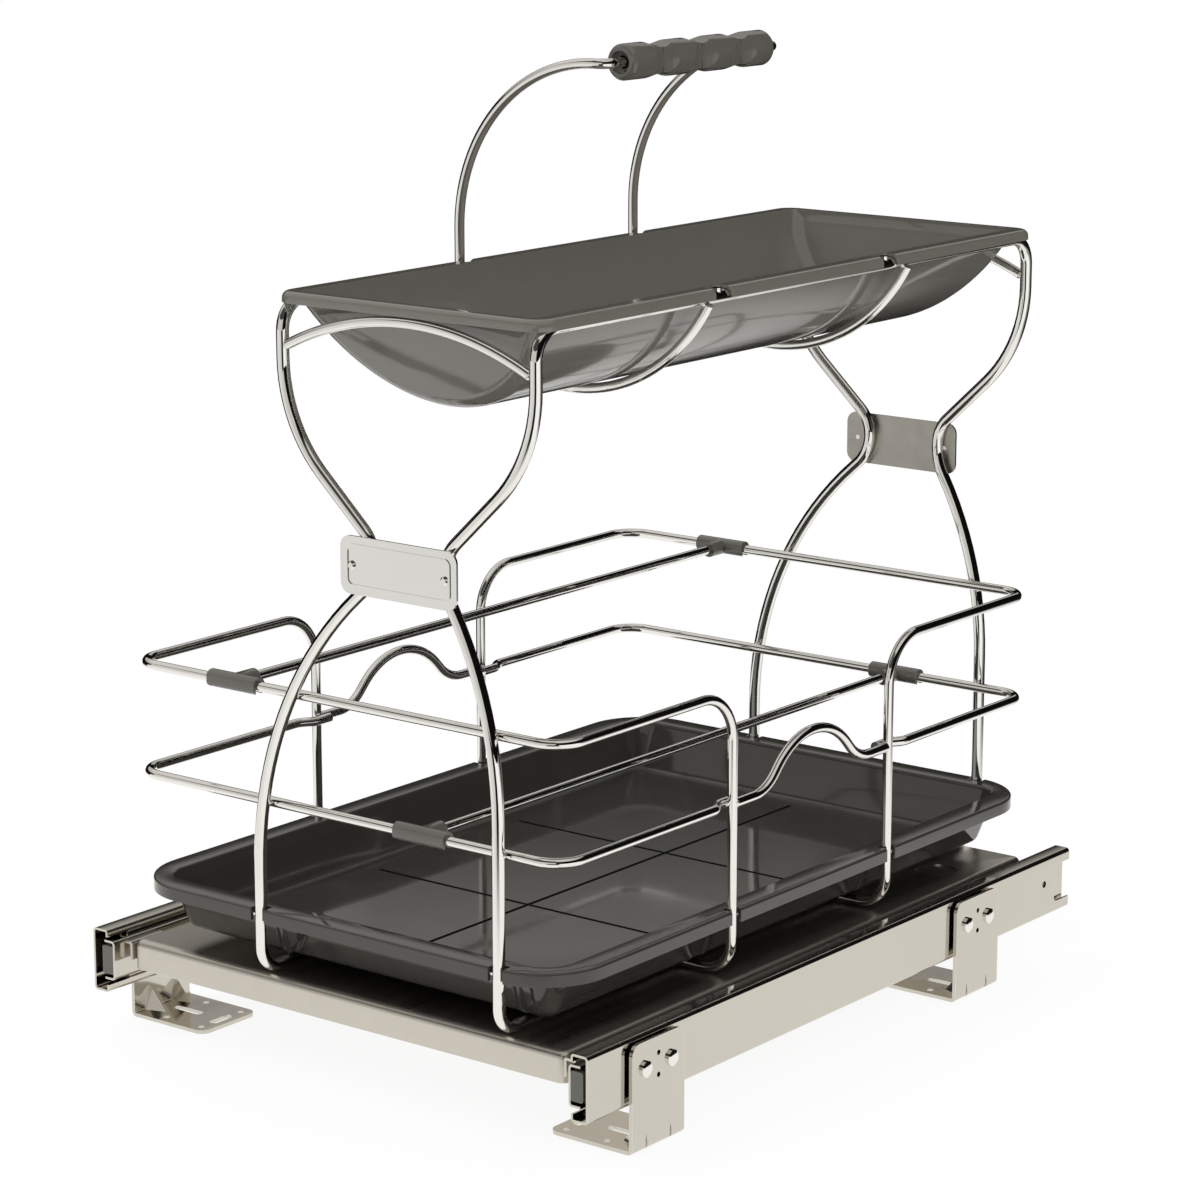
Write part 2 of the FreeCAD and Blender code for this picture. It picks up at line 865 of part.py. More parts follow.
tab_body = new_body("tabs_right")
tab_profile = new_sketch(tab_body, "tab_profile", "XZ_Plane")
tab_top = tab_floor + tab_height
outline(tab_profile, [
    (deck_half, tab_floor),
    (deck_half + tab_sheet, tab_floor),
    (deck_half + tab_sheet, tab_top - tab_sheet),
    (inner_web - tab_sheet, tab_top - tab_sheet),
    (inner_web - tab_sheet, tab_floor),
    (inner_web, tab_floor),
    (inner_web, tab_top, tab_sheet),
    (deck_half, tab_top, tab_sheet),
])
tab_pad = pad(tab_body, tab_profile, tab_length, symmetric=True)
tab_bores = new_sketch(tab_body, "tab_rivet_holes", "YZ_Plane")
ring(tab_bores, 0, rivet_height, rivet_hole)
tab_cut = pocket(tab_body, tab_bores, slide_face * 3, symmetric=True)
row_of(tab_body, "Y_Axis", [tab_pad, tab_cut], tab_pitch, 3)
bind(tab_body, "Placement.Base.y", -tab_front)
both_sides("runner_spacers", [tab_body])

rivet_sizes = (rivet_shank, rivet_head, rivet_head_rise)
rivet_rows = [
    pin_row(
        "rivets_to_runner",
        inner_web - tab_sheet,
        inner_web + inner_sheet,
        rivet_sizes,
        -tab_front,
        tab_pitch,
        3,
        rivet_height,
        True,
    ),
    pin_row(
        "rivets_to_deck",
        deck_half - deck_sheet,
        deck_half + tab_sheet,
        rivet_sizes,
        -tab_front,
        tab_pitch,
        3,
        rivet_height,
        True,
    ),
]
both_sides("platform_rivets", rivet_rows)


# Wire caddy

frame_radius = frame_wire / 2
slim_radius = slim_wire / 2
leg_plane = basket_depth + frame_radius + slim_radius - weld_bite
loop_floor = deck_top + rest_gap + frame_radius
foot_floor = deck_top + rest_gap + slim_radius


def side_loop(name, foot, shoulder, waist, top, waist_bend):
    """One hour-glass loop: down the front, along the deck and up the back."""
    front = [
        (foot, loop_floor, foot_bend),
        (foot, shoulder, shoulder_bend),
        (waist, waist_low, waist_bend),
        (waist, waist_high, waist_top_bend),
        (top, flare_height, flare_bend),
        (top, loop_top, rail_bend),
    ]
    corners = [(across, -leg_plane, height, bend) for across, height, bend in front]
    corners += [(across, leg_plane, height, bend) for across, height, bend in reversed(front)]
    return bent_wire(name, frame_wire, corners, closed=True)


side_loop(
    "side_frame_left",
    -loop_left_foot,
    loop_left_shoulder,
    loop_left_waist,
    -loop_left_top,
    left_waist_bend,
)
side_loop(
    "side_frame_right",
    loop_right_foot,
    loop_right_shoulder,
    loop_right_waist,
    loop_right_top,
    right_waist_bend,
)

butt = weld_bite * 2
right_butt = loop_right_foot + frame_radius - butt
left_butt = -loop_left_foot - frame_radius + butt


def hoop(name, way):
    """Upper rail and its legs, for the front or the back of the basket."""
    leg = basket_leg * way
    face = basket_depth * way
    return bent_wire(name, slim_wire, [
        (right_butt, leg, foot_floor),
        (basket_half, leg, foot_floor, basket_foot_bend),
        (basket_half, leg, basket_top, basket_shoulder),
        (basket_half, face, basket_top, basket_corner),
        (-basket_half, face, basket_top, basket_corner),
        (-basket_half, leg, basket_top, basket_shoulder),
        (-basket_half, leg, foot_floor, basket_foot_bend),
        (left_butt, leg, foot_floor),
    ])


hoop("basket_hoop_front", -1)
hoop("basket_hoop_rear", 1)


def lower_hoop(name, way):
    """Middle rail of the basket. Its ends step inward and pass inside the legs."""
    face = basket_depth * way
    start = (basket_leg + joggle_start) * way
    stop = (basket_leg + joggle_stop) * way
    end = (basket_leg - joggle_past) * way
    return bent_wire(name, slim_wire, [
        (ring_half, end, basket_middle),
        (ring_half, stop, basket_middle, joggle_bend),
        (basket_half, start, basket_middle, joggle_bend),
        (basket_half, face, basket_middle, basket_corner),
        (-basket_half, face, basket_middle, basket_corner),
        (-basket_half, start, basket_middle, joggle_bend),
        (-ring_half, stop, basket_middle, joggle_bend),
        (-ring_half, end, basket_middle),
    ])


lower_hoop("lower_hoop_front", -1)
lower_hoop("lower_hoop_rear", 1)


def wave(name, across):
    """The rail between the legs rises over a rounded hump."""
    slope = math.radians(wave_slope.value)
    crest = wave_rise + wave_crest_bend * (1 / math.cos(slope) - 1)
    spread = crest * (1 / math.tan(slope))
    end = basket_leg - slim_radius + butt
    return bent_wire(name, slim_wire, [
        (across, -end, basket_middle),
        (across, -spread, basket_middle, wave_base_bend),
        (across, 0, basket_middle + crest, wave_crest_bend),
        (across, spread, basket_middle, wave_base_bend),
        (across, end, basket_middle),
    ])


wave("wave_right", basket_half)
wave("wave_left", -basket_half)

bent_wire("tray_ring", slim_wire, [
    (ring_half, -basket_depth, ring_height, ring_corner),
    (ring_half, basket_depth, ring_height, ring_corner),
    (-ring_half, basket_depth, ring_height, ring_corner),
    (-ring_half, -basket_depth, ring_height, ring_corner),
], closed=True)

# Arches between the loops' upper legs
arch_left = -loop_left_top + frame_radius + arch_end_gap
arch_right = loop_right_top - frame_radius - arch_end_gap
arch_middle = (arch_left + arch_right) / 2
arch_half = (arch_right - arch_left) / 2
arch_radius = (arch_half * arch_half + arch_rise * arch_rise) / (arch_rise * 2)
arch_centre = arch_ends + arch_rise - arch_radius


def bow(name, middle, centre, radius, low_end, sweep_text, along):
    """A round wire bent to an arc in an upright plane, about its lowest or highest point."""
    body = new_body(name)
    section = new_sketch(body, name + "_section", "YZ_Plane")
    ring(section, 0, -radius if low_end else radius, slim_wire)
    feature = body.newObject("PartDesign::Revolution", name + "_bend")
    feature.Profile = section
    feature.ReferenceAxis = (section, ["H_Axis"])
    feature.setExpression("Angle", sweep_text)
    feature.Midplane = True
    body.Tip = feature
    bind(body, "Placement.Base.x", middle)
    bind(body, "Placement.Base.y", along)
    bind(body, "Placement.Base.z", centre)
    return body


arch_angle = f"2 * asin({arch_half.text} / {arch_radius.text})"
bow("arch_front", arch_middle, arch_centre, arch_radius, False, arch_angle, -leg_plane)
bow("arch_rear", arch_middle, arch_centre, arch_radius, False, arch_angle, leg_plane)
rail_middle = (loop_right_top - loop_left_top) / 2
cradle_centre = cradle_low + cradle_radius
cradle_angle = f"2 * asin({cradle_reach.text} / {cradle_radius.text})"
bow("cradle_front", rail_middle, cradle_centre, cradle_radius, True, cradle_angle, -cradle_along)
bow("cradle_rear", rail_middle, cradle_centre, cradle_radius, True, cradle_angle, cradle_along)

# Handle: a bowed wire welded outside the left rail, with a moulded grip
handle_foot = -loop_left_top - frame_radius - slim_radius + weld_bite
grip_across = handle_foot + handle_bend + handle_corner
bent_wire("handle_wire", slim_wire, [
    (handle_foot, -handle_along, handle_start),
    (handle_foot, -handle_along, handle_top, handle_bend),
    (grip_across, -handle_along, handle_top, handle_corner),
    (grip_across, handle_along, handle_top, handle_corner),
    (handle_foot, handle_along, handle_top, handle_bend),
    (handle_foot, handle_along, handle_start),
])

grip = new_body("handle_grip")
grip_section = new_sketch(grip, "grip_section", "YZ_Plane")
grip_half = grip_length / 2
grip_radius = grip_width / 2
bore_radius = slim_radius + turn_gap
groove_half = grip_groove_width / 2
grip_corners = [
    (-grip_half + grip_mouth_depth, bore_radius),
    (-grip_half + grip_mouth_depth, grip_mouth / 2),
    (-grip_half, grip_mouth / 2),
    (-grip_half, grip_radius, grip_radius - grip_mouth / 2 - grip_end_land),
]
for place in (-1, 0, 1):
    groove = grip_groove_pitch * place
    grip_corners += [
        (groove - groove_half, grip_radius, 1.5),
        (groove, grip_radius - grip_groove_depth, 0.8),
        (groove + groove_half, grip_radius, 1.5),
    ]
grip_corners += [
    (grip_half, grip_radius, grip_radius - grip_mouth / 2 - grip_end_land),
    (grip_half, grip_mouth / 2),
    (grip_half - grip_mouth_depth, grip_mouth / 2),
    (grip_half - grip_mouth_depth, bore_radius),
]
outline(grip_section, grip_corners)
turned(grip, grip_section, 360, axis="H_Axis")
scoop_centre = grip_radius - grip_scoop_depth + grip_scoop_radius
for role in ("YZ_Plane", "XY_Plane"):
    scoops = new_sketch(grip, "grip_scoops_" + role[:2], role)
    for place in (-1, 0, 1):
        for side in (-1, 1):
            spot = (scoop_centre * side, grip_groove_pitch * place)
            if role == "YZ_Plane":
                spot = (spot[1], spot[0])
            ring(scoops, *spot, grip_scoop_radius * 2)
    pocket(grip, scoops, grip_width * 2, symmetric=True)
grip.Placement = FreeCAD.Placement(
    FreeCAD.Vector(0, 0, 0), FreeCAD.Rotation(FreeCAD.Vector(0, 1, 0), 45)
)
bind(grip, "Placement.Base.x", grip_across)
bind(grip, "Placement.Base.z", handle_top)

# Short posts on the right rail stand in the bin rim's notches
stub_body = new_body("rail_stub_posts")
stub_disc = new_sketch(stub_body, "stub_disc", "XY_Plane", loop_top + frame_radius - 0.8)
ring(stub_disc, loop_right_top, 0, slim_wire)
stub_pad = pad(stub_body, stub_disc, stub_rise + 0.8)
row_of(stub_body, "Y_Axis", [stub_pad], handle_along * 2, 2)
bind(stub_body, "Placement.Base.y", -handle_along)
rail_stubs = doc.addObject("Part::Cut", "rail_stubs")
rail_stubs.Label = "rail_stubs"
rail_stubs.Base = stub_body
rail_stubs.Tool = doc.getObject("side_frame_right")


# Name plates in front of and behind the loops' waists

def plate(name, way):
    """A bare plate with a raised border, fixed by two rivets."""
    body = new_body(name)
    back = leg_plane + frame_radius - plate_bite
    half_length = plate_length / 2
    half_height = plate_height / 2
    face_role = "XZ_Plane"
    blank = new_sketch(body, name + "_blank", face_role, back)
    low = plate_middle - half_height
    high = plate_middle + half_height
    centre = 0
    rectangle(blank, -half_length, low, half_length, high, plate_corner)
    pad(body, blank, plate_sheet)
    rim = new_sketch(body, name + "_border", face_role, back + plate_sheet)
    outer_inset = plate_border - plate_border_width / 2
    inner_inset = plate_border + plate_border_width / 2
    for inset in (outer_inset, inner_inset):
        rectangle(
            rim,
            -half_length + inset,
            low + inset,
            half_length - inset,
            high - inset,
            plate_corner - inset * 0.6,
        )
    pad(body, rim, plate_border_rise)
    bores = new_sketch(body, name + "_holes", face_role)
    for side in (-1, 1):
        ring(bores, plate_rivet_spacing / 2 * side + centre, plate_middle, rivet_hole * 0.7)
    pocket(body, bores, leg_plane * 3, symmetric=True)
    turn = 0 if way < 0 else 180
    body.Placement = FreeCAD.Placement(
        FreeCAD.Vector(0, 0, 0), FreeCAD.Rotation(FreeCAD.Vector(0, 0, 1), turn)
    )
    bind(body, "Placement.Base.x", plate_across)
    return body


plate("plate_front", -1)
plate("plate_rear", 1)

plate_rivet_body = new_body("plate_rivets_front")
plate_face = leg_plane + frame_radius - plate_bite + plate_sheet
rivet_profile = new_sketch(plate_rivet_body, "plate_rivet_section", "XY_Plane")
plate_rivet_half = plate_rivet_head / 2
outline(rivet_profile, [
    (0, -plate_face - plate_rivet_rise),
    (plate_rivet_half * 0.6, -plate_face - plate_rivet_rise),
    (plate_rivet_half, -plate_face - plate_rivet_rise * 0.4),
    (plate_rivet_half, -plate_face),
    (rivet_hole * 0.35 - turn_gap, -plate_face),
    (rivet_hole * 0.35 - turn_gap, -plate_face + plate_sheet),
    (0, -plate_face + plate_sheet),
])
rivet_turn = turned(plate_rivet_body, rivet_profile, 360, axis="V_Axis")
row_of(plate_rivet_body, "X_Axis", [rivet_turn], plate_rivet_spacing, 2)
bind(plate_rivet_body, "Placement.Base.x", plate_across - plate_rivet_spacing / 2)
bind(plate_rivet_body, "Placement.Base.z", plate_middle)
rear_rivets = mirrored("plate_rivets_rear", plate_rivet_body, (0, 1, 0))
plate_rivets = doc.addObject("Part::Compound", "plate_rivets")
plate_rivets.Label = "plate_rivets"
plate_rivets.Links = [plate_rivet_body, rear_rivets]


# Top bin: a trough with sloping ends, whose rolled rim hangs over the two upper rails

rim_floor = loop_top - bin_rim_low
rim_top = rim_floor + bin_rim_height
trough_centre = cradle_low + slim_radius + rest_gap + bin_radius


def trough(name, inset, top):
    """A round-bottomed block whose ends slope in towards the bottom."""
    body = new_body(name)
    radius = bin_radius - inset
    depth = bin_end_top - inset
    disc = new_sketch(body, name + "_disc", "XZ_Plane")
    ring(disc, 0, trough_centre, radius * 2)
    pad(body, disc, depth * 2, symmetric=True)
    crop = new_sketch(body, name + "_crop", "XZ_Plane")
    rectangle(crop, -bin_radius * 2, top, bin_radius * 2, trough_centre + bin_radius * 2)
    pocket(body, crop, bin_end_top * 3, symmetric=True)
    ends = new_sketch(body, name + "_ends", "YZ_Plane")
    drop = rim_floor - trough_centre + bin_radius
    for way in (-1, 1):
        outline(ends, [
            (depth * way, rim_floor),
            ((depth - bin_end_slope) * way, rim_floor - drop),
            ((depth - bin_end_slope) * way, rim_floor - drop * 2),
            (bin_end_top * 2 * way, rim_floor - drop * 2),
            (bin_end_top * 2 * way, rim_floor),
        ])
    pocket(body, ends, bin_radius * 4, symmetric=True)
    round_edges(
        body,
        bin_fillet - inset,
        lambda spot, box: box.XLength > 1 and box.YLength > 1 and box.ZLength > 1,
    )
    return body


outer_trough = trough("bin_outside", as_size(0), rim_floor)
inner_trough = trough("bin_inside", bin_wall, rim_top + bin_wall)
bin_rim = new_body("bin_rim")
rim_sketch = new_sketch(bin_rim, "bin_rim_outline", "XY_Plane", rim_floor)
rectangle(rim_sketch, -bin_rim_half, -bin_rim_depth, bin_rim_half, bin_rim_depth, bin_rim_corner)
pad(bin_rim, rim_sketch, bin_rim_height)
round_edges(bin_rim, bin_rim_roll, lambda spot, box: abs(spot.z - rim_top.value) < 0.01)
notches = new_sketch(bin_rim, "bin_rim_notches", "XY_Plane", rim_top)
notch_half = bin_notch_width / 2
for side in (-1, 1):
    for along in (-handle_along, handle_along):
        rectangle(
            notches,
            (bin_rim_half - bin_notch_depth) * side,
            along - notch_half,
            (bin_rim_half + bin_notch_depth) * side,
            along + notch_half,
            2.5,
        )
pocket(bin_rim, notches, bin_rim_height * 2)
bin_solid = doc.addObject("Part::Fuse", "bin_solid")
bin_solid.Base = outer_trough
bin_solid.Tool = bin_rim
bin_open = doc.addObject("Part::Cut", "bin_open")
bin_open.Base = bin_solid
bin_open.Tool = inner_trough


def rail_room(name, across):
    """The room under the rolled rim that an upper rail and its two bends need."""
    return bent_wire(name, frame_wire + rest_gap * 2, [
        (across, -leg_plane, loop_top - rail_bend * 2),
        (across, -leg_plane, loop_top, rail_bend),
        (across, leg_plane, loop_top, rail_bend),
        (across, leg_plane, loop_top - rail_bend * 2),
    ])


rail_rooms = doc.addObject("Part::Compound", "rail_rooms")
rail_rooms.Links = [rail_room("room_left", -rail_half), rail_room("room_right", rail_half)]
top_bin = doc.addObject("Part::Cut", "top_bin")
top_bin.Label = "top_bin"
top_bin.Base = bin_open
top_bin.Tool = rail_rooms
bind(top_bin, "Placement.Base.x", rail_middle)


# Lower tray: tapered walls, a turned-down rim and notches for the caddy's legs

tray = new_body("tray_pressing")
tray_rim_floor = ring_height + slim_radius + rest_gap
tray_rim_top = tray_rim_floor + tray_rim_sheet


def tray_level(name, height, inset):
    level = new_sketch(tray, name, "XY_Plane", height)
    half = tray_half - inset
    depth = tray_depth - inset
    rectangle(level, -half, -depth, half, depth, tray_corner - inset)
    return level


wall_height = tray_rim_floor - tray_floor
wall_taper = f"-1 * atan({tray_draft.text} / {wall_height.text})"
outside = tray_level("tray_outside", tray_rim_floor, as_size(0))
walls = pad(tray, outside, wall_height, reverse=True)
walls.setExpression("TaperAngle", wall_taper)
round_edges(tray, tray_foot_roll, lambda spot, box: abs(spot.z - tray_floor.value) < 0.01)
rim_level = new_sketch(tray, "tray_rim", "XY_Plane", tray_rim_floor)
rectangle(
    rim_level, -tray_rim_half, -tray_rim_depth, tray_rim_half, tray_rim_depth, tray_rim_corner
)
pad(tray, rim_level, tray_rim_sheet)
lip_level = new_sketch(tray, "tray_lip", "XY_Plane", tray_rim_floor)
for inset in (as_size(0), tray_wall):
    rectangle(
        lip_level,
        -tray_rim_half + inset,
        -tray_rim_depth + inset,
        tray_rim_half - inset,
        tray_rim_depth - inset,
        tray_rim_corner - inset,
    )
pad(tray, lip_level, tray_lip, reverse=True)
round_edges(
    tray,
    tray_rim_sheet * 0.6,
    lambda spot, box: abs(spot.z - tray_rim_top.value) < 0.01,
)
pocket(tray, tray_level("tray_mouth", tray_rim_top, tray_wall), tray_rim_sheet)
inside = tray_level("tray_inside", tray_rim_floor, tray_wall)
hollow = pocket(tray, inside, wall_height - tray_wall)
hollow.setExpression("TaperAngle", wall_taper)
round_edges(
    tray,
    tray_foot_roll - tray_wall,
    lambda spot, box: abs(spot.z - (tray_floor + tray_wall).value) < 0.01,
)
round_edges(
    tray,
    tray_mouth_roll,
    lambda spot, box: abs(spot.z - tray_rim_top.value) < 0.01
    and abs(spot.x) < tray_half.value + 1
    and abs(spot.y) < tray_depth.value + 1,
)
leg_notches = new_sketch(tray, "tray_notches", "XY_Plane", tray_rim_top + 1)
loop_notch = frame_radius + tray_notch_side
leg_notch = slim_radius + tray_notch_side
for across in (-loop_left_foot, loop_right_foot):
    for way in (-1, 1):
        rectangle(
            leg_notches,
            across - loop_notch,
            (leg_plane - frame_radius - rest_gap * 2) * way,
            across + loop_notch,
            (tray_rim_depth + tray_lip) * way,
        )
for along in (-basket_leg, basket_leg):
    for way in (-1, 1):
        rectangle(
            leg_notches,
            (basket_half - slim_radius - rest_gap * 2) * way,
            along - leg_notch,
            (tray_rim_half + tray_lip) * way,
            along + leg_notch,
        )
pocket(tray, leg_notches, tray_rim_sheet + tray_lip + 2)
creases = new_sketch(tray, "tray_creases", "XY_Plane", tray_floor + tray_wall)
crease_half = tray_groove_width / 2
rectangle(creases, -crease_half, -tray_groove_along, crease_half, tray_groove_along)
for side in (-1, 1):
    for way in (-1, 1):
        rectangle(
            creases,
            crease_half * 2 * side,
            tray_groove_offset * way - crease_half,
            tray_groove_across * side,
            tray_groove_offset * way + crease_half,
        )
pocket(tray, creases, tray_groove_depth)

# Each flute is a round cut that leans with the wall behind a leg
wall_lean = math.degrees(math.atan2(tray_draft.value, wall_height.value))
flute_drop = wall_height + tray_foot_roll
flute_out = (flute_radius - flute_depth) * (1 / math.cos(math.radians(wall_lean)))
flute_foot = flute_out - tray_draft * (flute_drop / wall_height)
flute_text = f"atan({tray_draft.text} / {wall_height.text})"
flutes = []


def flute(name, way, across, along, sideways):
    """One leaning round cutter; sideways ones stand at the right and left walls."""
    cutter = doc.addObject("Part::Cylinder", name)
    bind(cutter, "Radius", flute_radius)
    run = f"({flute_drop.text} - {flute_radius.text} * sin({flute_text}) - {rest_gap.text})"
    cutter.setExpression("Height", f"{run} / cos({flute_text})")
    cutter.Placement = FreeCAD.Placement(
        FreeCAD.Vector(0, 0, 0),
        FreeCAD.Rotation(FreeCAD.Vector(0, 1, 0) if sideways else FreeCAD.Vector(1, 0, 0), wall_lean * way),
    )
    bind(cutter, "Placement.Base.x", across)
    bind(cutter, "Placement.Base.y", along)
    bind(cutter, "Placement.Base.z", tray_rim_floor - flute_drop)
    flutes.append(cutter)


for way in (-1, 1):
    flute(f"flute_loop_left_{way + 1}", -way, -loop_left_foot, (tray_depth + flute_foot) * way, False)
    flute(f"flute_loop_right_{way + 1}", -way, loop_right_foot, (tray_depth + flute_foot) * way, False)
    flute(f"flute_leg_front_{way + 1}", way, (tray_half + flute_foot) * way, -basket_leg, True)
    flute(f"flute_leg_rear_{way + 1}", way, (tray_half + flute_foot) * way, basket_leg, True)
flute_set = doc.addObject("Part::Compound", "tray_flutes")
flute_set.Links = flutes
lower_tray = doc.addObject("Part::Cut", "lower_tray")
lower_tray.Label = "lower_tray"
lower_tray.Base = tray
lower_tray.Tool = flute_set


# Dividers: a straight wire between two clips that slide along the basket rails

clip_bore = slim_radius + turn_gap
stem_end = basket_depth - clip_stem


def clip(name, across, height, way):
    """A sleeve, open below, over the rail, with a stem that holds the divider wire."""
    body = new_body(name)
    barrel = new_sketch(body, name + "_barrel", "YZ_Plane")
    ring(barrel, 0, 0, clip_radius * 2)
    pad(body, barrel, clip_length, symmetric=True)
    stem = new_sketch(body, name + "_stem", "XZ_Plane")
    ring(stem, 0, 0, clip_stem_width)
    pad(body, stem, clip_stem, reverse=True)
    cuts = new_sketch(body, name + "_cuts", "YZ_Plane")
    ring(cuts, 0, 0, clip_bore * 2)
    mouth_half = clip_mouth / 2
    pocket(body, cuts, clip_length * 2, symmetric=True)
    mouth = new_sketch(body, name + "_mouth", "YZ_Plane")
    rectangle(mouth, -mouth_half, -clip_radius * 2, mouth_half, 0)
    pocket(body, mouth, clip_length * 2, symmetric=True)
    face = new_sketch(body, name + "_face", "YZ_Plane")
    face_line = clip_radius - clip_flat
    rectangle(face, -clip_radius * 2, -clip_radius * 2, -face_line, clip_radius * 2)
    pocket(body, face, clip_length * 2, symmetric=True)
    socket = new_sketch(body, name + "_socket", "XZ_Plane", -clip_stem)
    ring(socket, 0, 0, clip_bore * 2)
    pocket(body, socket, socket_depth, reverse=True)
    turn = 0 if way < 0 else 180
    body.Placement = FreeCAD.Placement(
        FreeCAD.Vector(0, 0, 0), FreeCAD.Rotation(FreeCAD.Vector(0, 0, 1), turn)
    )
    bind(body, "Placement.Base.x", across)
    bind(body, "Placement.Base.y", basket_depth * way)
    bind(body, "Placement.Base.z", height)
    return body


def divider(name, across, height):
    clip(name + "_clip_front", across, height, -1)
    clip(name + "_clip_rear", across, height, 1)
    wire = doc.addObject("Part::Cylinder", name + "_wire")
    wire.Label = name + "_wire"
    reach = stem_end + socket_depth - turn_gap
    bind(wire, "Radius", slim_radius)
    bind(wire, "Height", reach * 2)
    wire.Placement = FreeCAD.Placement(
        FreeCAD.Vector(0, 0, 0), FreeCAD.Rotation(FreeCAD.Vector(1, 0, 0), -90)
    )
    bind(wire, "Placement.Base.x", across)
    bind(wire, "Placement.Base.y", -reach)
    bind(wire, "Placement.Base.z", height)


divider("divider_upper", upper_divider_at, basket_top)
divider("divider_lower", lower_divider_at, basket_middle)


# Build, check and write

pieces = [
    "bracket_front_right", "bracket_front_left", "bracket_rear_right", "bracket_rear_left",
    "bracket_screws", "bracket_spacers", "slide_outer_right", "slide_outer_left",
    "slide_middle_right", "slide_middle_left", "slide_inner_right", "slide_inner_left",
    "bumper_right", "bumper_left", "platform", "runner_spacers", "platform_rivets",
    "side_frame_left", "side_frame_right", "basket_hoop_front", "basket_hoop_rear",
    "lower_hoop_front", "lower_hoop_rear", "wave_left", "wave_right", "tray_ring",
    "arch_front", "arch_rear", "cradle_front", "cradle_rear", "handle_wire", "handle_grip",
    "rail_stubs", "plate_front", "plate_rear", "plate_rivets", "top_bin", "lower_tray",
    "divider_upper_wire", "divider_upper_clip_front", "divider_upper_clip_rear",
    "divider_lower_wire", "divider_lower_clip_front", "divider_lower_clip_rear",
]

doc.recompute()
failed = [item.Name for item in doc.Objects if {"Invalid", "Error"} & set(item.State)]
if failed:
    raise RuntimeError("Objects that failed: " + ", ".join(failed))
for piece in pieces:
    item = doc.getObjectsByLabel(piece)[0]
    shape = item.Shape
    if shape.isNull() or not shape.isValid():
        raise RuntimeError("Shape not sound: " + piece)
for piece in pieces:
    shape = doc.getObjectsByLabel(piece)[0].Shape
    box = shape.BoundBox
    spans = (box.XMin, box.XMax, box.YMin, box.YMax, box.ZMin, box.ZMax)
    print(piece, len(shape.Solids), round(shape.Volume, 1), [round(span, 2) for span in spans])
    shape.exportStep(f"parts/{piece}.step")
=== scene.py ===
# %% [markdown]
# A pull-out caddy for the cupboard under a sink
#
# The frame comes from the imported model: every bracket, slide, wire and moulding is
# already there at its real size. This lesson gives those parts smooth faces and real
# finishes, adds the small things that only show up close, and lights the whole as in a
# white photo studio.

# %% Load the frame and note its box
import bpy
import json
import math
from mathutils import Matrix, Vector

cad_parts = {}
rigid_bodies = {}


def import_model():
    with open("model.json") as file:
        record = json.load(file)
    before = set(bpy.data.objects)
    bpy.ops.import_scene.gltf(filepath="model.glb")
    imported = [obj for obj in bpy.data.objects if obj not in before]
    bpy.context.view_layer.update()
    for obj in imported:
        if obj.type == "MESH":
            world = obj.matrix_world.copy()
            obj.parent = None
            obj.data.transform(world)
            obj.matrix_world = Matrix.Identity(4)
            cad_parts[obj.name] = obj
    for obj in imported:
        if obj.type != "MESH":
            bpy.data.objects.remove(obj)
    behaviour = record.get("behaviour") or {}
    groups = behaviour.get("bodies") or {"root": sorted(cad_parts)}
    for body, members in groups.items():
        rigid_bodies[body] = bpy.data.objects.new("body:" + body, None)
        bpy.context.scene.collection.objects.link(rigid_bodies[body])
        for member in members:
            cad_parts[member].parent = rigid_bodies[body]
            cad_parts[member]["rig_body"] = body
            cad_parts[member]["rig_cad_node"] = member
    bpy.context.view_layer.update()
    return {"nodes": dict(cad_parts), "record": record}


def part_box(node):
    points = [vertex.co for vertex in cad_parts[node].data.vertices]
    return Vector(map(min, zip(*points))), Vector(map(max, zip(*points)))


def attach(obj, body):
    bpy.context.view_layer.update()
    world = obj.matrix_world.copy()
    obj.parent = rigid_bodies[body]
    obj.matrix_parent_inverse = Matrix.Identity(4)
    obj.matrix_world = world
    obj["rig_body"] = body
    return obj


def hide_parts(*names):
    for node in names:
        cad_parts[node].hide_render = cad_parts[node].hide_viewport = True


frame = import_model()
nodes = frame["nodes"]
body_of_node = {}
for body_name, members in frame["record"]["behaviour"]["bodies"].items():
    for member in members:
        body_of_node[member] = body_name
slot_of_node = {part["node"]: part["material_slot"] for part in frame["record"]["subparts"]}

# %% [markdown]
# The camera stands to the right and a little above, far away with a long lens, so the
# wires stay nearly parallel. Its place was worked out from the corners of the basket's
# rails and from the slides, which are taken to be 450 mm long.

# %% Camera
lens_mm = 113.1
sensor_mm = 36.0
camera_place = (1.235064, -1.586912, 0.680444)
pitch_down = 12.823
turn_left = 37.863
farthest_seen = 30.0

camera_data = bpy.data.cameras.new("studio_camera")
camera_data.lens = lens_mm
camera_data.sensor_width = sensor_mm
camera_data.clip_end = farthest_seen
camera = bpy.data.objects.new("studio_camera", camera_data)
camera.location = camera_place
camera.rotation_euler = (math.radians(90 - pitch_down), 0, math.radians(turn_left))
bpy.context.scene.collection.objects.link(camera)
bpy.context.scene.camera = camera

# %% [markdown]
# The sky, the floor and all finishes are drawn with nodes, so a few helpers come first.
# Arithmetic and mixing take plain values and other nodes' sockets alike.

# %% Helpers for node trees
def node(tree, kind, **values):
    """Add a node and set its named inputs or properties."""
    made = tree.nodes.new(kind)
    for name, value in values.items():
        if hasattr(made, name):
            setattr(made, name, value)
        else:
            made.inputs[name.replace("_", " ")].default_value = value
    return made


def feed(tree, target, value):
    """Link a socket to the target, or give the target a plain value."""
    if isinstance(value, bpy.types.NodeSocket):
        tree.links.new(value, target)
    else:
        target.default_value = value


def calc(tree, operation, first, second=0.0):
    """One step of arithmetic."""
    made = node(tree, "ShaderNodeMath", operation=operation)
    feed(tree, made.inputs[0], first)
    feed(tree, made.inputs[1], second)
    return made.outputs[0]


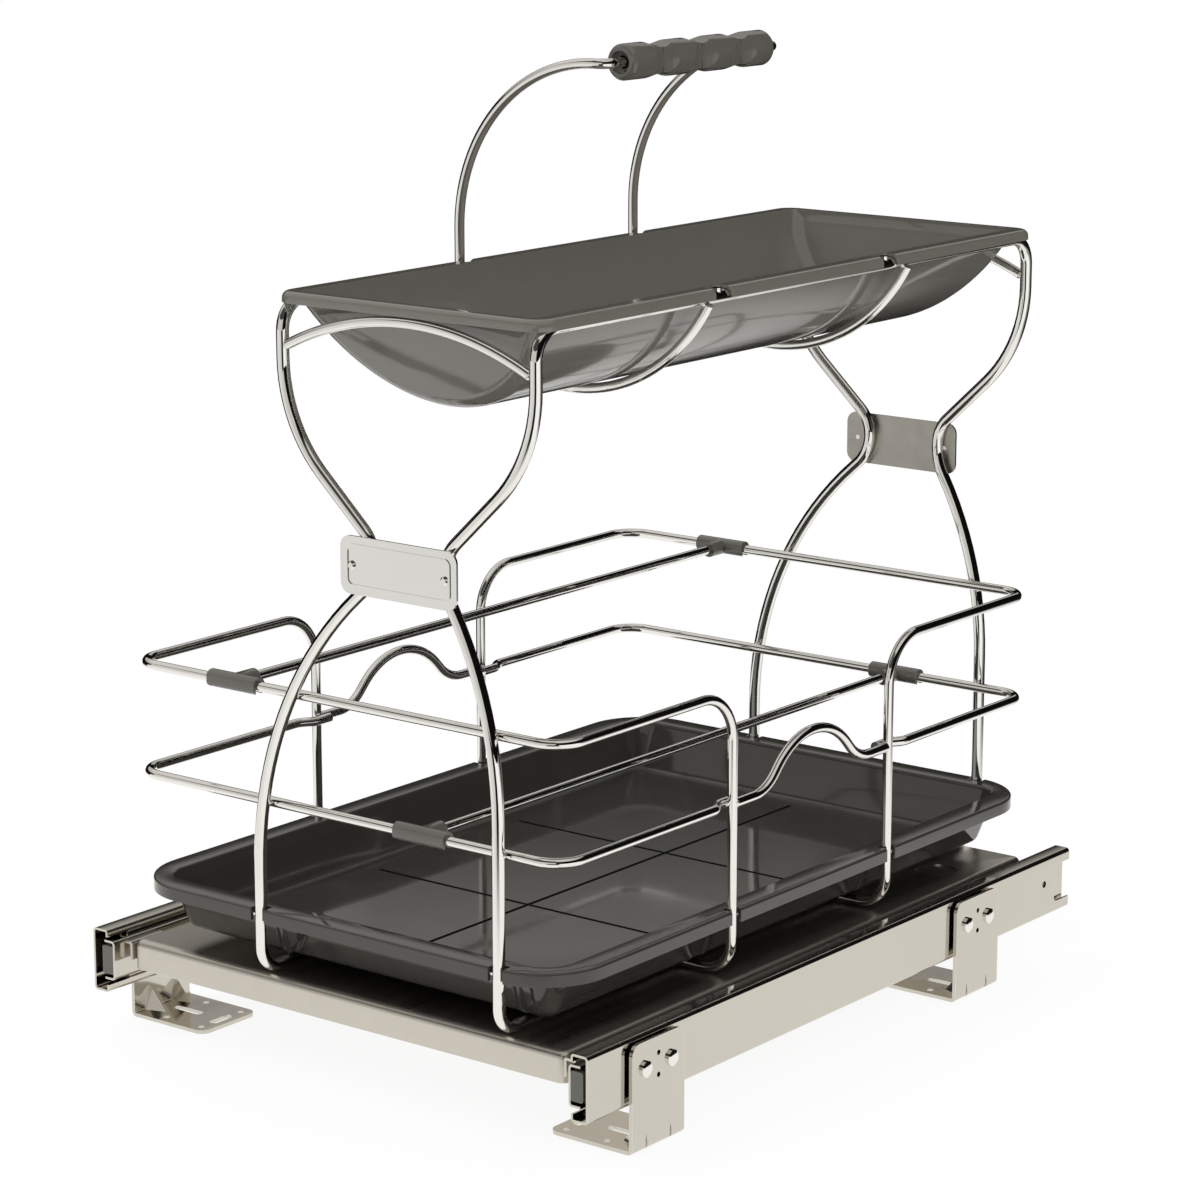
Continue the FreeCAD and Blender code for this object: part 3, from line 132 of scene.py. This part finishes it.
def mixed(tree, kind, share, first, second):
    """Mix two colours (RGBA) or two numbers (FLOAT)."""
    made = node(tree, "ShaderNodeMix", data_type=kind)
    for label, value in (("Factor", share), ("A", first), ("B", second)):
        feed(tree, made.inputs[label], value)
    return made.outputs["Result"]


def step(tree, source, low, high, start=0.0, stop=1.0):
    """A soft step from start to stop, while the source goes from low to high."""
    made = node(
        tree, "ShaderNodeMapRange", interpolation_type="SMOOTHSTEP",
        From_Min=low, From_Max=high, To_Min=start, To_Max=stop,
    )
    tree.links.new(source, made.inputs["Value"])
    return made.outputs[0]


def along(tree, source, direction):
    """How far a vector reaches in one level direction."""
    made = node(tree, "ShaderNodeVectorMath", operation="DOT_PRODUCT")
    tree.links.new(source, made.inputs[0])
    made.inputs[1].default_value = (*direction, 0)
    return made.outputs["Value"]


def object_place(tree):
    """The place on the object itself, so a pattern stays put when a part moves."""
    return tree.nodes.new("ShaderNodeTexCoord").outputs["Object"]


# %% [markdown]
# Polished chrome only looks like chrome when it has something dark to mirror. In a studio
# that is done with black cards round the edge of the table and a pale ceiling. Here the
# sky plays that part. Behind the object and on its right it is black half way up, behind
# on the left it is black up to about seventeen degrees, and in front on the left it is
# pale with a dark belt. Only mirror-like rays see the cards; all other light is even, and
# the camera sees plain white.
#
# A band's low and high are heights on a ball of radius 1: 0.3 is about seventeen degrees
# up and 0.7 about forty-five.

# %% World: white for the camera, black cards and pale ceiling for the polished metal
to_camera = (0.614, -0.789)
to_right = (0.789, 0.614)
card_black = 0.004
belt_dark = 0.06
pure_white = (1, 1, 1, 1)
warm_white = (1, 0.975, 0.93, 1)

world = bpy.data.worlds.new("studio_tent")
bpy.context.scene.world = world
world.use_nodes = True
tent = world.node_tree
tent.nodes.clear()
view_direction = tent.nodes.new("ShaderNodeTexCoord").outputs["Generated"]
view_parts = tent.nodes.new("ShaderNodeSeparateXYZ")
tent.links.new(view_direction, view_parts.inputs[0])
height = view_parts.outputs["Z"]

lower_pale = step(tent, height, low=0.265, high=0.325, start=card_black, stop=0.46)
upper_pale = step(tent, height, low=0.42, high=0.62, start=0.0, stop=0.22)
behind_left = calc(tent, "ADD", lower_pale, upper_pale)
behind_right = step(tent, height, low=0.66, high=0.72, start=card_black, stop=0.45)
is_behind_right = step(tent, view_parts.outputs["X"], low=-0.30, high=-0.12)
behind = mixed(tent, "FLOAT", is_behind_right, behind_left, behind_right)

pale_to_belt = step(tent, height, low=0.38, high=0.43, start=0.62, stop=belt_dark)
belt_to_pale = step(tent, height, low=0.82, high=0.88, start=0.0, stop=0.6)
on_left = calc(tent, "ADD", pale_to_belt, belt_to_pale)
on_right = step(tent, height, low=0.66, high=0.74, start=card_black, stop=0.62)
is_right = step(tent, along(tent, view_direction, to_right), low=-0.08, high=0.08)
in_front = mixed(tent, "FLOAT", is_right, on_left, on_right)

is_front = step(tent, along(tent, view_direction, to_camera), low=-0.12, high=0.04)
mirror_light = mixed(tent, "FLOAT", is_front, behind, in_front)
plain_light = step(tent, height, low=-0.3, high=0.8, start=0.38, stop=0.95)

rays = tent.nodes.new("ShaderNodeLightPath").outputs
tent_light = mixed(tent, "FLOAT", rays["Is Glossy Ray"], plain_light, mirror_light)
seen_light = mixed(tent, "FLOAT", rays["Is Camera Ray"], tent_light, 1.0)
hue = mixed(tent, "RGBA", rays["Is Glossy Ray"], pure_white, warm_white)
backdrop = node(tent, "ShaderNodeBackground")
tent.links.new(seen_light, backdrop.inputs["Strength"])
tent.links.new(hue, backdrop.inputs["Color"])
tent_output = tent.nodes.new("ShaderNodeOutputWorld")
tent.links.new(backdrop.outputs[0], tent_output.inputs["Surface"])
bpy.context.scene.view_settings.view_transform = "Standard"

# %% [markdown]
# Three wide soft boxes do the modelling: one high on the left in front and two weaker
# ones from the right and from behind. Mirror-like rays pass them by, because the bands of
# the sky already draw every highlight.

# %% Soft boxes
def soft_box(name, place, aim, size, power):
    """A rectangular lamp at a place, turned to its aim."""
    lamp = bpy.data.lights.new(name, "AREA")
    lamp.shape = "RECTANGLE"
    lamp.size, lamp.size_y = size
    lamp.energy = power
    box = bpy.data.objects.new(name, lamp)
    box.location = place
    box.rotation_euler = (Vector(aim) - Vector(place)).to_track_quat("-Z", "Y").to_euler()
    box.visible_glossy = False
    bpy.context.scene.collection.objects.link(box)


soft_box("soft_box_left", place=(-1.5, -1.7, 1.9), aim=(0, 0, 0.2), size=(1.4, 1.0), power=24)
soft_box("soft_box_right", place=(2.2, -0.4, 1.3), aim=(0, 0, 0.2), size=(0.9, 1.4), power=14)
soft_box("soft_box_back", place=(-0.6, 2.2, 1.6), aim=(0, 0, 0.3), size=(1.6, 0.8), power=14)

# %% [markdown]
# The floor is a pale, matt disc. The camera sees it as nearly the white of the backdrop:
# near the object a tenth of the matt paint shows and takes a very faint shadow, and
# farther out none of it. Mirror-like rays see the floor lit near the object and, farther
# out, split into bright and dark fields by their bearing from the camera. Those fields
# draw the black and white stripes along the upright wires.

# %% Pale floor
floor_radius = 7.0
floor_facets = 96
floor_drop = 0.0003
matt_white = (0.94, 0.94, 0.935, 1)
lit_floor = (0.95, 0.94, 0.91, 1)
field_tint = (1.0, 0.99, 0.96)
# Bearing in degrees, brightness
field_stops = [
    (-180, 0.01), (-104, 0.01), (-100, 0.86), (-24, 0.66), (-19, 0.01), (6, 0.01),
    (9, 1.0), (66, 1.0), (70, 0.26), (90, 0.30), (94, 0.01), (180, 0.01),
]

bpy.ops.mesh.primitive_circle_add(
    vertices=floor_facets, radius=floor_radius, fill_type="NGON", location=(0, 0, -floor_drop)
)
floor = bpy.context.object
floor.name = "studio_floor"
floor_paint = bpy.data.materials.new("pale_floor")
floor_paint.use_nodes = True
paint = floor_paint.node_tree
paint.nodes.clear()
spot_place = object_place(paint)


def either(share, first, second):
    """Mix two of the floor's shaders."""
    made = paint.nodes.new("ShaderNodeMixShader")
    for socket, source in zip(made.inputs, (share, first, second)):
        paint.links.new(source, socket)
    return made.outputs[0]


spot_length = node(paint, "ShaderNodeVectorMath", operation="LENGTH")
paint.links.new(spot_place, spot_length.inputs[0])
distance = spot_length.outputs["Value"]
to_the_right = along(paint, spot_place, to_right)
to_the_camera = along(paint, spot_place, to_camera)
bearing = calc(paint, "ARCTAN2", to_the_right, to_the_camera)
whole_turn = node(paint, "ShaderNodeMapRange", From_Min=-math.pi, From_Max=math.pi)
paint.links.new(bearing, whole_turn.inputs["Value"])
fields = paint.nodes.new("ShaderNodeValToRGB")
paint.links.new(whole_turn.outputs[0], fields.inputs[0])
ramp = fields.color_ramp
while len(ramp.elements) < len(field_stops):
    ramp.elements.new(0.5)
for element, (degrees, brightness) in zip(ramp.elements, field_stops):
    element.position = (degrees + 180) / 360
    element.color = (*[brightness * part for part in field_tint], 1)

matt = node(paint, "ShaderNodeBsdfDiffuse", Color=matt_white)
white = node(paint, "ShaderNodeEmission", Color=pure_white, Strength=1.0)
is_far = step(paint, distance, low=0.45, high=0.85)
card = node(paint, "ShaderNodeEmission", Strength=1.0)
paint.links.new(mixed(paint, "RGBA", is_far, lit_floor, fields.outputs[0]), card.inputs["Color"])
floor_rays = paint.nodes.new("ShaderNodeLightPath").outputs
whiteness = step(paint, distance, low=0.25, high=0.9, start=0.90, stop=1.0)
whiteness_seen = calc(paint, "MULTIPLY", floor_rays["Is Camera Ray"], whiteness)
plain_floor = either(whiteness_seen, matt.outputs[0], white.outputs[0])
whole_floor = either(floor_rays["Is Glossy Ray"], plain_floor, card.outputs[0])
floor_output = paint.nodes.new("ShaderNodeOutputMaterial")
paint.links.new(whole_floor, floor_output.inputs["Surface"])
floor.data.materials.append(floor_paint)

# %% [markdown]
# Five small effects are shared by the finishes, so each is a node group: a fine grain for
# mouldings and plated wire, long faint drawing lines for sheet, a mask for edges, where
# handling polishes metal and scuffs plastic, a mask for narrow hollows, where shade is
# painted in and the surface is made rough, and a mask for painted shade lines over the
# grooves in the tray's floor: one along the middle and two across.

# %% Shared effects
def new_group(name, inputs, outputs):
    """A node group of plain numbers, with the sockets inside that it starts and ends at."""
    group = bpy.data.node_groups.new(name, "ShaderNodeTree")
    for label, value in inputs:
        socket = group.interface.new_socket(label, in_out="INPUT", socket_type="NodeSocketFloat")
        socket.default_value = value
    for label in outputs:
        group.interface.new_socket(label, in_out="OUTPUT", socket_type="NodeSocketFloat")
    entry = group.nodes.new("NodeGroupInput")
    result = group.nodes.new("NodeGroupOutput")
    return group, entry.outputs, result.inputs


def noise(tree, source, scale, detail=4.0, stretch=(1, 1, 1)):
    """A cloudy pattern of 0 to 1; a small stretch draws it out long on that axis."""
    mapping = node(tree, "ShaderNodeMapping", Scale=stretch)
    tree.links.new(source, mapping.inputs["Vector"])
    made = node(tree, "ShaderNodeTexNoise", Detail=detail)
    feed(tree, made.inputs["Scale"], scale)
    tree.links.new(mapping.outputs[0], made.inputs["Vector"])
    return made.outputs["Fac"]


def varied(tree, source, low, high):
    """Turn the middle of a cloudy pattern into values between two group inputs."""
    made = node(tree, "ShaderNodeMapRange", From_Min=0.3, From_Max=0.7)
    tree.links.new(source, made.inputs["Value"])
    tree.links.new(low, made.inputs["To Min"])
    tree.links.new(high, made.inputs["To Max"])
    return made.outputs[0]


grain, grain_in, grain_out = new_group(
    "moulded_grain",
    [("Grain Scale", 1400.0), ("Low", 0.3), ("High", 0.4)],
    ["Height", "Roughness", "Tint"],
)
place = object_place(grain)
clouds = noise(grain, place, scale=14.0, detail=3.0)
rough = varied(grain, clouds, grain_in["Low"], grain_in["High"])
grain.links.new(noise(grain, place, scale=grain_in["Grain Scale"]), grain_out["Height"])
grain.links.new(rough, grain_out["Roughness"])
grain.links.new(noise(grain, place, scale=55.0, detail=5.0), grain_out["Tint"])

drawn, drawn_in, drawn_out = new_group(
    "drawing_lines",
    [("Line Scale", 900.0), ("Low", 0.24), ("High", 0.36)],
    ["Height", "Roughness", "Tint"],
)
place = object_place(drawn)
lines = noise(drawn, place, scale=drawn_in["Line Scale"], detail=3.0, stretch=(1, 0.012, 1))
streaks = noise(drawn, place, scale=120.0, detail=4.0, stretch=(1, 0.03, 1))
rough = varied(drawn, streaks, drawn_in["Low"], drawn_in["High"])
drawn.links.new(lines, drawn_out["Height"])
drawn.links.new(rough, drawn_out["Roughness"])
drawn.links.new(noise(drawn, place, scale=9.0, detail=3.0), drawn_out["Tint"])

edges, edges_in, edges_out = new_group("worn_edges", [("Break Scale", 90.0)], ["Mask"])
rounded = node(edges, "ShaderNodeBevel", samples=4, Radius=0.0007)
true_normal = edges.nodes.new("ShaderNodeNewGeometry").outputs["Normal"]
agreement = node(edges, "ShaderNodeVectorMath", operation="DOT_PRODUCT")
edges.links.new(rounded.outputs[0], agreement.inputs[0])
edges.links.new(true_normal, agreement.inputs[1])
on_edge = step(edges, agreement.outputs["Value"], low=0.86, high=0.985, start=1.0, stop=0.0)
breaks = noise(edges, object_place(edges), scale=edges_in["Break Scale"], detail=5.0)
broken = step(edges, breaks, low=0.36, high=0.60, start=0.25, stop=1.0)
edges.links.new(calc(edges, "MULTIPLY", on_edge, broken), edges_out["Mask"])

# Ambient occlusion finds narrow hollows, where the finishes paint shade.
crevices, _, crevices_out = new_group("deep_crevices", [], ["Mask"])
hollow = node(crevices, "ShaderNodeAmbientOcclusion", samples=8, Distance=0.0016)
depth = step(crevices, hollow.outputs["AO"], low=0.30, high=0.72, start=1.0, stop=0.0)
crevices.links.new(depth, crevices_out["Mask"])

# Painted shade: dark lines over the tray's real grooves, wider than the grooves.
# Across and Along are half lengths. Offset is how far the cross lines lie from the centre,
# and Floor is the height that the lines stay under.
grooves, grooves_in, grooves_out = new_group(
    "floor_grooves",
    [
        ("Half Width", 0.0014), ("Across", 0.1070), ("Along", 0.1860),
        ("Offset", 0.062), ("Floor", 0.066),
    ],
    ["Mask"],
)
groove_place = grooves.nodes.new("ShaderNodeSeparateXYZ")
grooves.links.new(object_place(grooves), groove_place.inputs[0])


def under(value, limit):
    """A mask of where a value lies under one of the group's inputs."""
    return calc(grooves, "LESS_THAN", value, grooves_in[limit])


def both(first, second):
    """A mask of where two masks meet."""
    return calc(grooves, "MULTIPLY", first, second)


from_middle = calc(grooves, "ABSOLUTE", groove_place.outputs["X"])
from_centre = calc(grooves, "ABSOLUTE", groove_place.outputs["Y"])
past_offset = calc(grooves, "SUBTRACT", from_centre, grooves_in["Offset"])
from_cross = calc(grooves, "ABSOLUTE", past_offset)
long_line = both(under(from_middle, "Half Width"), under(from_centre, "Along"))
cross_lines = both(under(from_cross, "Half Width"), under(from_middle, "Across"))
any_line = calc(grooves, "MAXIMUM", long_line, cross_lines)
low_down = under(groove_place.outputs["Z"], "Floor")
grooves.links.new(both(any_line, low_down), grooves_out["Mask"])

# %% [markdown]
# A finish is one Principled shader fed by the grain or the drawing lines. The two colours
# are mixed by a soft cloudy pattern, and the height feeds a very low bump, so that a
# highlight breaks up a little as it does on the real surface. Worn edges, and painted
# shade in rough hollows, are laid over that where a finish asks for them, and the tray
# has painted shade lines over its floor grooves too.

# %% A maker of finishes
relief_depth = 0.0002
dull_roughness = 0.9
coat_roughness = 0.04


def mask_of(tree, group):
    """The mask of one of the shared effects, for use in a material."""
    return node(tree, "ShaderNodeGroup", node_tree=group).outputs["Mask"]


def finish(
    name, group, colours, group_values, metal, bump,
    coat=0.0, worn=None, painted_shade=None, groove_shade=False,
):
    """One material; worn is the edges' colour and roughness, and hollows get painted shade of
    the given colour.
    """
    material = bpy.data.materials.new(name)
    material.use_nodes = True
    tree = material.node_tree
    surface = tree.nodes["Principled BSDF"]
    effect = node(tree, "ShaderNodeGroup", node_tree=group)
    for label, value in group_values.items():
        effect.inputs[label].default_value = value
    first, second = colours
    colour = mixed(tree, "RGBA", effect.outputs["Tint"], (*first, 1), (*second, 1))
    roughness = effect.outputs["Roughness"]
    if worn:
        worn_colour, worn_roughness = worn
        wear = mask_of(tree, edges)
        colour = mixed(tree, "RGBA", wear, colour, (*worn_colour, 1))
        roughness = mixed(tree, "FLOAT", wear, roughness, worn_roughness)
    # Painted shade in narrow hollows, with a rough surface and no coat.
    if painted_shade:
        shade_mask = mask_of(tree, crevices)
        # The tray's floor lines of painted shade join the hollows' painted shade.
        if groove_shade:
            shade_mask = calc(tree, "MAXIMUM", shade_mask, mask_of(tree, grooves))
        colour = mixed(tree, "RGBA", shade_mask, colour, (*painted_shade, 1))
        roughness = mixed(tree, "FLOAT", shade_mask, roughness, dull_roughness)
        tree.links.new(mixed(tree, "FLOAT", shade_mask, coat, 0.0), surface.inputs["Coat Weight"])
    tree.links.new(colour, surface.inputs["Base Color"])
    tree.links.new(roughness, surface.inputs["Roughness"])
    relief = node(tree, "ShaderNodeBump", Strength=bump, Distance=relief_depth)
    tree.links.new(effect.outputs["Height"], relief.inputs["Height"])
    tree.links.new(relief.outputs[0], surface.inputs["Normal"])
    surface.inputs["Metallic"].default_value = metal
    if coat:
        surface.inputs["Coat Weight"].default_value = coat
        surface.inputs["Coat Roughness"].default_value = coat_roughness
    return material


finishes = {
    "chrome_wire": finish(
        "polished_chrome", grain, ((0.86, 0.845, 0.815), (0.92, 0.91, 0.89)),
        {"Grain Scale": 260.0, "Low": 0.018, "High": 0.045}, metal=1.0, bump=0.006,
    ),
    "satin_nickel": finish(
        "satin_nickel", drawn, ((0.615, 0.58, 0.525), (0.66, 0.625, 0.565)),
        {"Line Scale": 900.0, "Low": 0.27, "High": 0.34}, metal=1.0, bump=0.012,
        worn=((0.80, 0.775, 0.73), 0.14),
    ),
    "zinc_slides": finish(
        "bright_zinc", drawn, ((0.60, 0.57, 0.515), (0.65, 0.62, 0.56)),
        {"Line Scale": 1200.0, "Low": 0.09, "High": 0.14}, metal=1.0, bump=0.010,
        worn=((0.80, 0.78, 0.74), 0.08),
    ),
    "plate_metal": finish(
        "satin_plate", drawn, ((0.86, 0.845, 0.815), (0.91, 0.90, 0.875)),
        {"Line Scale": 700.0, "Low": 0.16, "High": 0.22}, metal=1.0, bump=0.012,
    ),
    "bright_pins": finish(
        "bright_pins", grain, ((0.86, 0.84, 0.80), (0.93, 0.91, 0.88)),
        {"Grain Scale": 500.0, "Low": 0.05, "High": 0.10}, metal=1.0, bump=0.01,
    ),
    "bin_plastic": finish(
        "warm_grey_plastic", grain, ((0.122, 0.115, 0.100), (0.138, 0.130, 0.113)),
        {"Grain Scale": 1500.0, "Low": 0.07, "High": 0.12}, metal=0.0, bump=0.012,
        coat=0.45, worn=((0.21, 0.20, 0.175), 0.24),
    ),
    # The tray's hollows and the lines over its floor grooves take painted shade.
    "tray_plastic": finish(
        "dark_grey_plastic", grain, ((0.033, 0.0312, 0.027), (0.041, 0.0388, 0.034)),
        {"Grain Scale": 1500.0, "Low": 0.06, "High": 0.11}, metal=0.0, bump=0.012,
        coat=0.4, worn=((0.060, 0.057, 0.050), 0.20), painted_shade=(0.002, 0.002, 0.002), groove_shade=True,
    ),
    # The grip's hollows and waist lines take painted shade.
    "grip_plastic": finish(
        "grip_plastic", grain, ((0.088, 0.083, 0.073), (0.105, 0.099, 0.087)),
        {"Grain Scale": 1700.0, "Low": 0.12, "High": 0.18}, metal=0.0, bump=0.02,
        coat=0.2, worn=((0.15, 0.142, 0.125), 0.22), painted_shade=(0.012, 0.011, 0.010),
    ),
    # The rear plate: the front plate's metal made darker as painted shade, and rougher.
    "plate_shaded": finish(
        "satin_plate_shaded", drawn, ((0.40, 0.385, 0.35), (0.50, 0.48, 0.44)),
        {"Line Scale": 700.0, "Low": 0.30, "High": 0.38}, metal=1.0, bump=0.012,
    ),
}
print("finishes", sorted(finishes))

# %% [markdown]
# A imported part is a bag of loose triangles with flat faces, which would show as stripes
# on chrome. A copy of each part has its doubled points merged and its shallow edges
# smoothed, and stands in for the part. Its shape stays exactly the part's own. Pressed
# sheet is smoothed across the shallowest edges only, so that its flats stay flat.

# %% Smooth-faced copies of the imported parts
same_point = 0.000002
round_angle = 34
pressed_angle = 16
pressed = ("bracket_front", "bracket_rear", "platform")


def only(piece):
    """Select one piece and make it the active one."""
    bpy.ops.object.select_all(action="DESELECT")
    piece.select_set(True)
    bpy.context.view_layer.objects.active = piece


def look_of(name):
    """A part's finish: that of its slot, but for slides, bracket sheet and the rear plate, whose
    darker plate metal is painted shade.
    """
    slot = slot_of_node[name]
    if name.startswith("slide_"):
        return "zinc_slides"
    if name.startswith("bracket_") and slot == "satin_nickel":
        return "zinc_slides"
    # The rear plate takes a darker copy of the plate metal, as painted shade.
    if name == "plate_rear":
        return "plate_shaded"
    return slot


def smooth_copy(name):
    """A finished copy of one part, which replaces it in the picture."""
    source = nodes[name]
    piece = source.copy()
    piece.data = source.data.copy()
    piece.name = name + "_finished"
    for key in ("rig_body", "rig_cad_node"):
        if key in piece:
            del piece[key]
    piece.parent = None
    bpy.context.scene.collection.objects.link(piece)
    only(piece)
    bpy.ops.object.mode_set(mode="EDIT")
    bpy.ops.mesh.select_all(action="SELECT")
    bpy.ops.mesh.remove_doubles(threshold=same_point)
    bpy.ops.object.mode_set(mode="OBJECT")
    if piece.data.has_custom_normals:
        bpy.ops.mesh.customdata_custom_splitnormals_clear()
    angle = pressed_angle if name.startswith(pressed) else round_angle
    bpy.ops.object.shade_smooth_by_angle(angle=math.radians(angle))
    piece.data.materials.clear()
    piece.data.materials.append(finishes[look_of(name)])
    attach(piece, body_of_node[name])
    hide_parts(name)
    return piece


finished = {}
for name in sorted(nodes):
    finished[name] = smooth_copy(name)
print("smooth copies", len(finished))

# %% [markdown]
# The grip is a soft-looking plastic sleeve with three waists. At each waist four long
# scoops are taken out, and a fine line runs round. A profile is drawn point by point and
# spun round the handle's axis; the scoops are cut with round bars.

# %% Moulded grip
grip_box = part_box("handle_grip")
grip_x = (grip_box[0][0] + grip_box[1][0]) / 2
grip_z = (grip_box[0][2] + grip_box[1][2]) / 2
grip_r = 0.0094
grip_half = 0.0620
bore_r = 0.0033
mouth_r = 0.0060
waists = (-1, 0, 1)
waist_pitch = 0.034
line_r = 0.0060
line_half = 0.0005
scoops = 4
scoop_deep = 0.0029
scoop_r = 0.0200
scoop_long = 0.030
scoop_facets = 128
spin_steps = 64
profile_point = 0.000005
edge_round = 0.00025
edge_angle = 16
grip_angle = 30
# How far in from the end, radius
end_profile = [
    (0.0030, bore_r), (0.0018, mouth_r - 0.0006), (0.0, mouth_r),
    (0.0004, grip_r - 0.0019), (0.0012, grip_r - 0.0008), (0.0026, grip_r),
]

profile = [(inset - grip_half, r) for inset, r in end_profile]
far_end = [(-y, r) for y, r in reversed(profile)]
for waist in waists:
    line_y = waist_pitch * waist
    profile += [(line_y - line_half, grip_r), (line_y, line_r), (line_y + line_half, grip_r)]
profile += far_end
first_y, first_r = profile[0]
last_y = profile[-1][0]

# A tiny plane merged into one point starts the profile
bpy.ops.mesh.primitive_plane_add(size=0.001, location=(0, 0, 0))
grip = bpy.context.object
grip.name = "moulded_grip"
bpy.ops.object.mode_set(mode="EDIT")
bpy.ops.mesh.select_all(action="SELECT")
bpy.ops.mesh.merge(type="CENTER")
bpy.ops.transform.translate(value=(grip_x, first_y, grip_z + first_r))
for (y, r), (next_y, next_r) in zip(profile, profile[1:]):
    bpy.ops.mesh.extrude_region_move(
        TRANSFORM_OT_translate={"value": (0, next_y - y, next_r - r)}
    )
bpy.ops.mesh.extrude_region_move(TRANSFORM_OT_translate={"value": (0, first_y - last_y, 0)})
bpy.ops.mesh.select_all(action="SELECT")
bpy.ops.mesh.remove_doubles(threshold=profile_point)
bpy.ops.mesh.select_all(action="SELECT")
bpy.ops.mesh.spin(steps=spin_steps, angle=math.tau, center=(grip_x, 0, grip_z), axis=(0, 1, 0))
bpy.ops.mesh.select_all(action="SELECT")
bpy.ops.mesh.remove_doubles(threshold=profile_point)
bpy.ops.mesh.normals_make_consistent(inside=False)
bpy.ops.object.mode_set(mode="OBJECT")

reach = grip_r - scoop_deep + scoop_r
for waist in waists:
    for turn in range(scoops):
        angle = math.tau / scoops * turn
        bar_x = grip_x + reach * math.cos(angle)
        bar_z = grip_z - reach * math.sin(angle)
        bpy.ops.mesh.primitive_cylinder_add(
            vertices=scoop_facets, radius=scoop_r, depth=scoop_long,
            rotation=(0, angle, 0), location=(bar_x, waist_pitch * waist, bar_z),
        )
        bar = bpy.context.object
        only(grip)
        scoop = grip.modifiers.new("scoop", "BOOLEAN")
        scoop.operation = "DIFFERENCE"
        scoop.solver = "EXACT"
        scoop.object = bar
        bpy.ops.object.modifier_apply(modifier="scoop")
        only(bar)
        bpy.ops.object.delete()

only(grip)
softened = grip.modifiers.new("softened", "BEVEL")
softened.width = edge_round
softened.segments = 2
softened.limit_method = "ANGLE"
softened.angle_limit = math.radians(edge_angle)
bpy.ops.object.modifier_apply(modifier="softened")
bpy.ops.object.shade_smooth_by_angle(angle=math.radians(grip_angle))
grip.data.materials.append(finishes["grip_plastic"])
bpy.data.objects.remove(finished.pop("handle_grip"))
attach(grip, "caddy")
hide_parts("handle_grip")
print("grip faces", len(grip.data.polygons))

# %% [markdown]
# Wherever two wires cross, the real caddy has a small spot weld. Each is a flattened, a
# little lumpy bead, pressed between the two wires. The places come from the frame: the
# rails' heights are read from the nodes' boxes, and rays find where a loop's leg stands
# at that height. The basket's legs and the top rails are placed by the part's own sizes.

# %% Weld beads
millimetre = 0.001
bead_size = 0.0023
large_bead = 0.0026
bead_flatness = 0.55
bead_lumps = 0.00022
beads = []


def leg_across(name, level):
    """Where a side loop's front leg stands, left to right, at one height."""
    in_front_of_all = -0.4
    front_face = -0.19
    hits = []
    for count in range(-150, 151):
        across = count * millimetre
        start = (across, in_front_of_all, level)
        hit, spot = finished[name].ray_cast(start, (0, 1, 0))[:2]
        if hit and spot.y < front_face:
            hits.append(across)
    return sum(hits) / len(hits)


def bead(place, flat_axis, size=bead_size):
    """A lumpy ball of weld metal, flattened along the line through both wires."""
    bpy.ops.mesh.primitive_uv_sphere_add(segments=16, ring_count=10, radius=size)
    ball = bpy.context.object
    bpy.ops.object.mode_set(mode="EDIT")
    bpy.ops.mesh.select_all(action="SELECT")
    flat = [bead_flatness if axis == flat_axis else 1.0 for axis in "XYZ"]
    bpy.ops.transform.resize(value=flat)
    bpy.ops.transform.vertex_random(offset=bead_lumps, seed=len(beads) + 1)
    bpy.ops.transform.translate(value=place)
    bpy.ops.mesh.faces_shade_smooth()
    bpy.ops.object.mode_set(mode="OBJECT")
    beads.append(ball)


# Radii of the two wires, then what the boxes say
slim_r = 0.00265
thick_r = 0.00325
hoop_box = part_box("basket_hoop_front")
basket_half = hoop_box[1][0] - slim_r
face_depth = -hoop_box[0][1] - slim_r
upper_rail = hoop_box[1][2] - slim_r
lower_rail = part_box("lower_hoop_front")[1][2] - slim_r
ring_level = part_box("tray_ring")[1][2] - slim_r

# The part's own sizes: basket legs, top rails, and what is welded to the top rails
basket_leg = 0.072
top_rail = 0.4104
top_left = -0.028
top_right = 0.1335
arch_drop = 0.0214
cradle_along = 0.0895
cradle_drop = 0.0012
handle_along = 0.075
handle_drop = 0.004

for level in (upper_rail, lower_rail, ring_level):
    for name in ("side_frame_left", "side_frame_right"):
        for way in (-1, 1):
            bead((leg_across(name, level), (face_depth + slim_r) * way, level), "Y")
for side in (-1, 1):
    for way in (-1, 1):
        for level in (lower_rail, ring_level):
            bead(((basket_half - slim_r) * side, basket_leg * way, level), "X")
        bead((basket_half * side, (basket_leg - slim_r) * way, lower_rail), "Y", large_bead)
for way in (-1, 1):
    arch_depth = (face_depth + slim_r + thick_r) * way
    bead((top_left + thick_r, arch_depth, top_rail - arch_drop), "X", large_bead)
    bead((top_right - thick_r, arch_depth, top_rail - arch_drop), "X", large_bead)
    bead((top_left - thick_r, cradle_along * way, top_rail - cradle_drop), "X", large_bead)
    bead((top_right + thick_r, cradle_along * way, top_rail - cradle_drop), "X", large_bead)
    bead((top_left - thick_r, handle_along * way, top_rail - handle_drop), "X", large_bead)

only(beads[0])
for ball in beads:
    ball.select_set(True)
bpy.ops.object.join()
weld_beads = bpy.context.object
weld_beads.name = "weld_beads"
rounding = weld_beads.modifiers.new("rounding", "SUBSURF")
rounding.levels = 1
rounding.render_levels = 1
bpy.ops.object.modifier_apply(modifier="rounding")
weld_beads.data.materials.append(finishes["chrome_wire"])
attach(weld_beads, "caddy")
print("weld beads", len(beads), "faces", len(weld_beads.data.polygons))
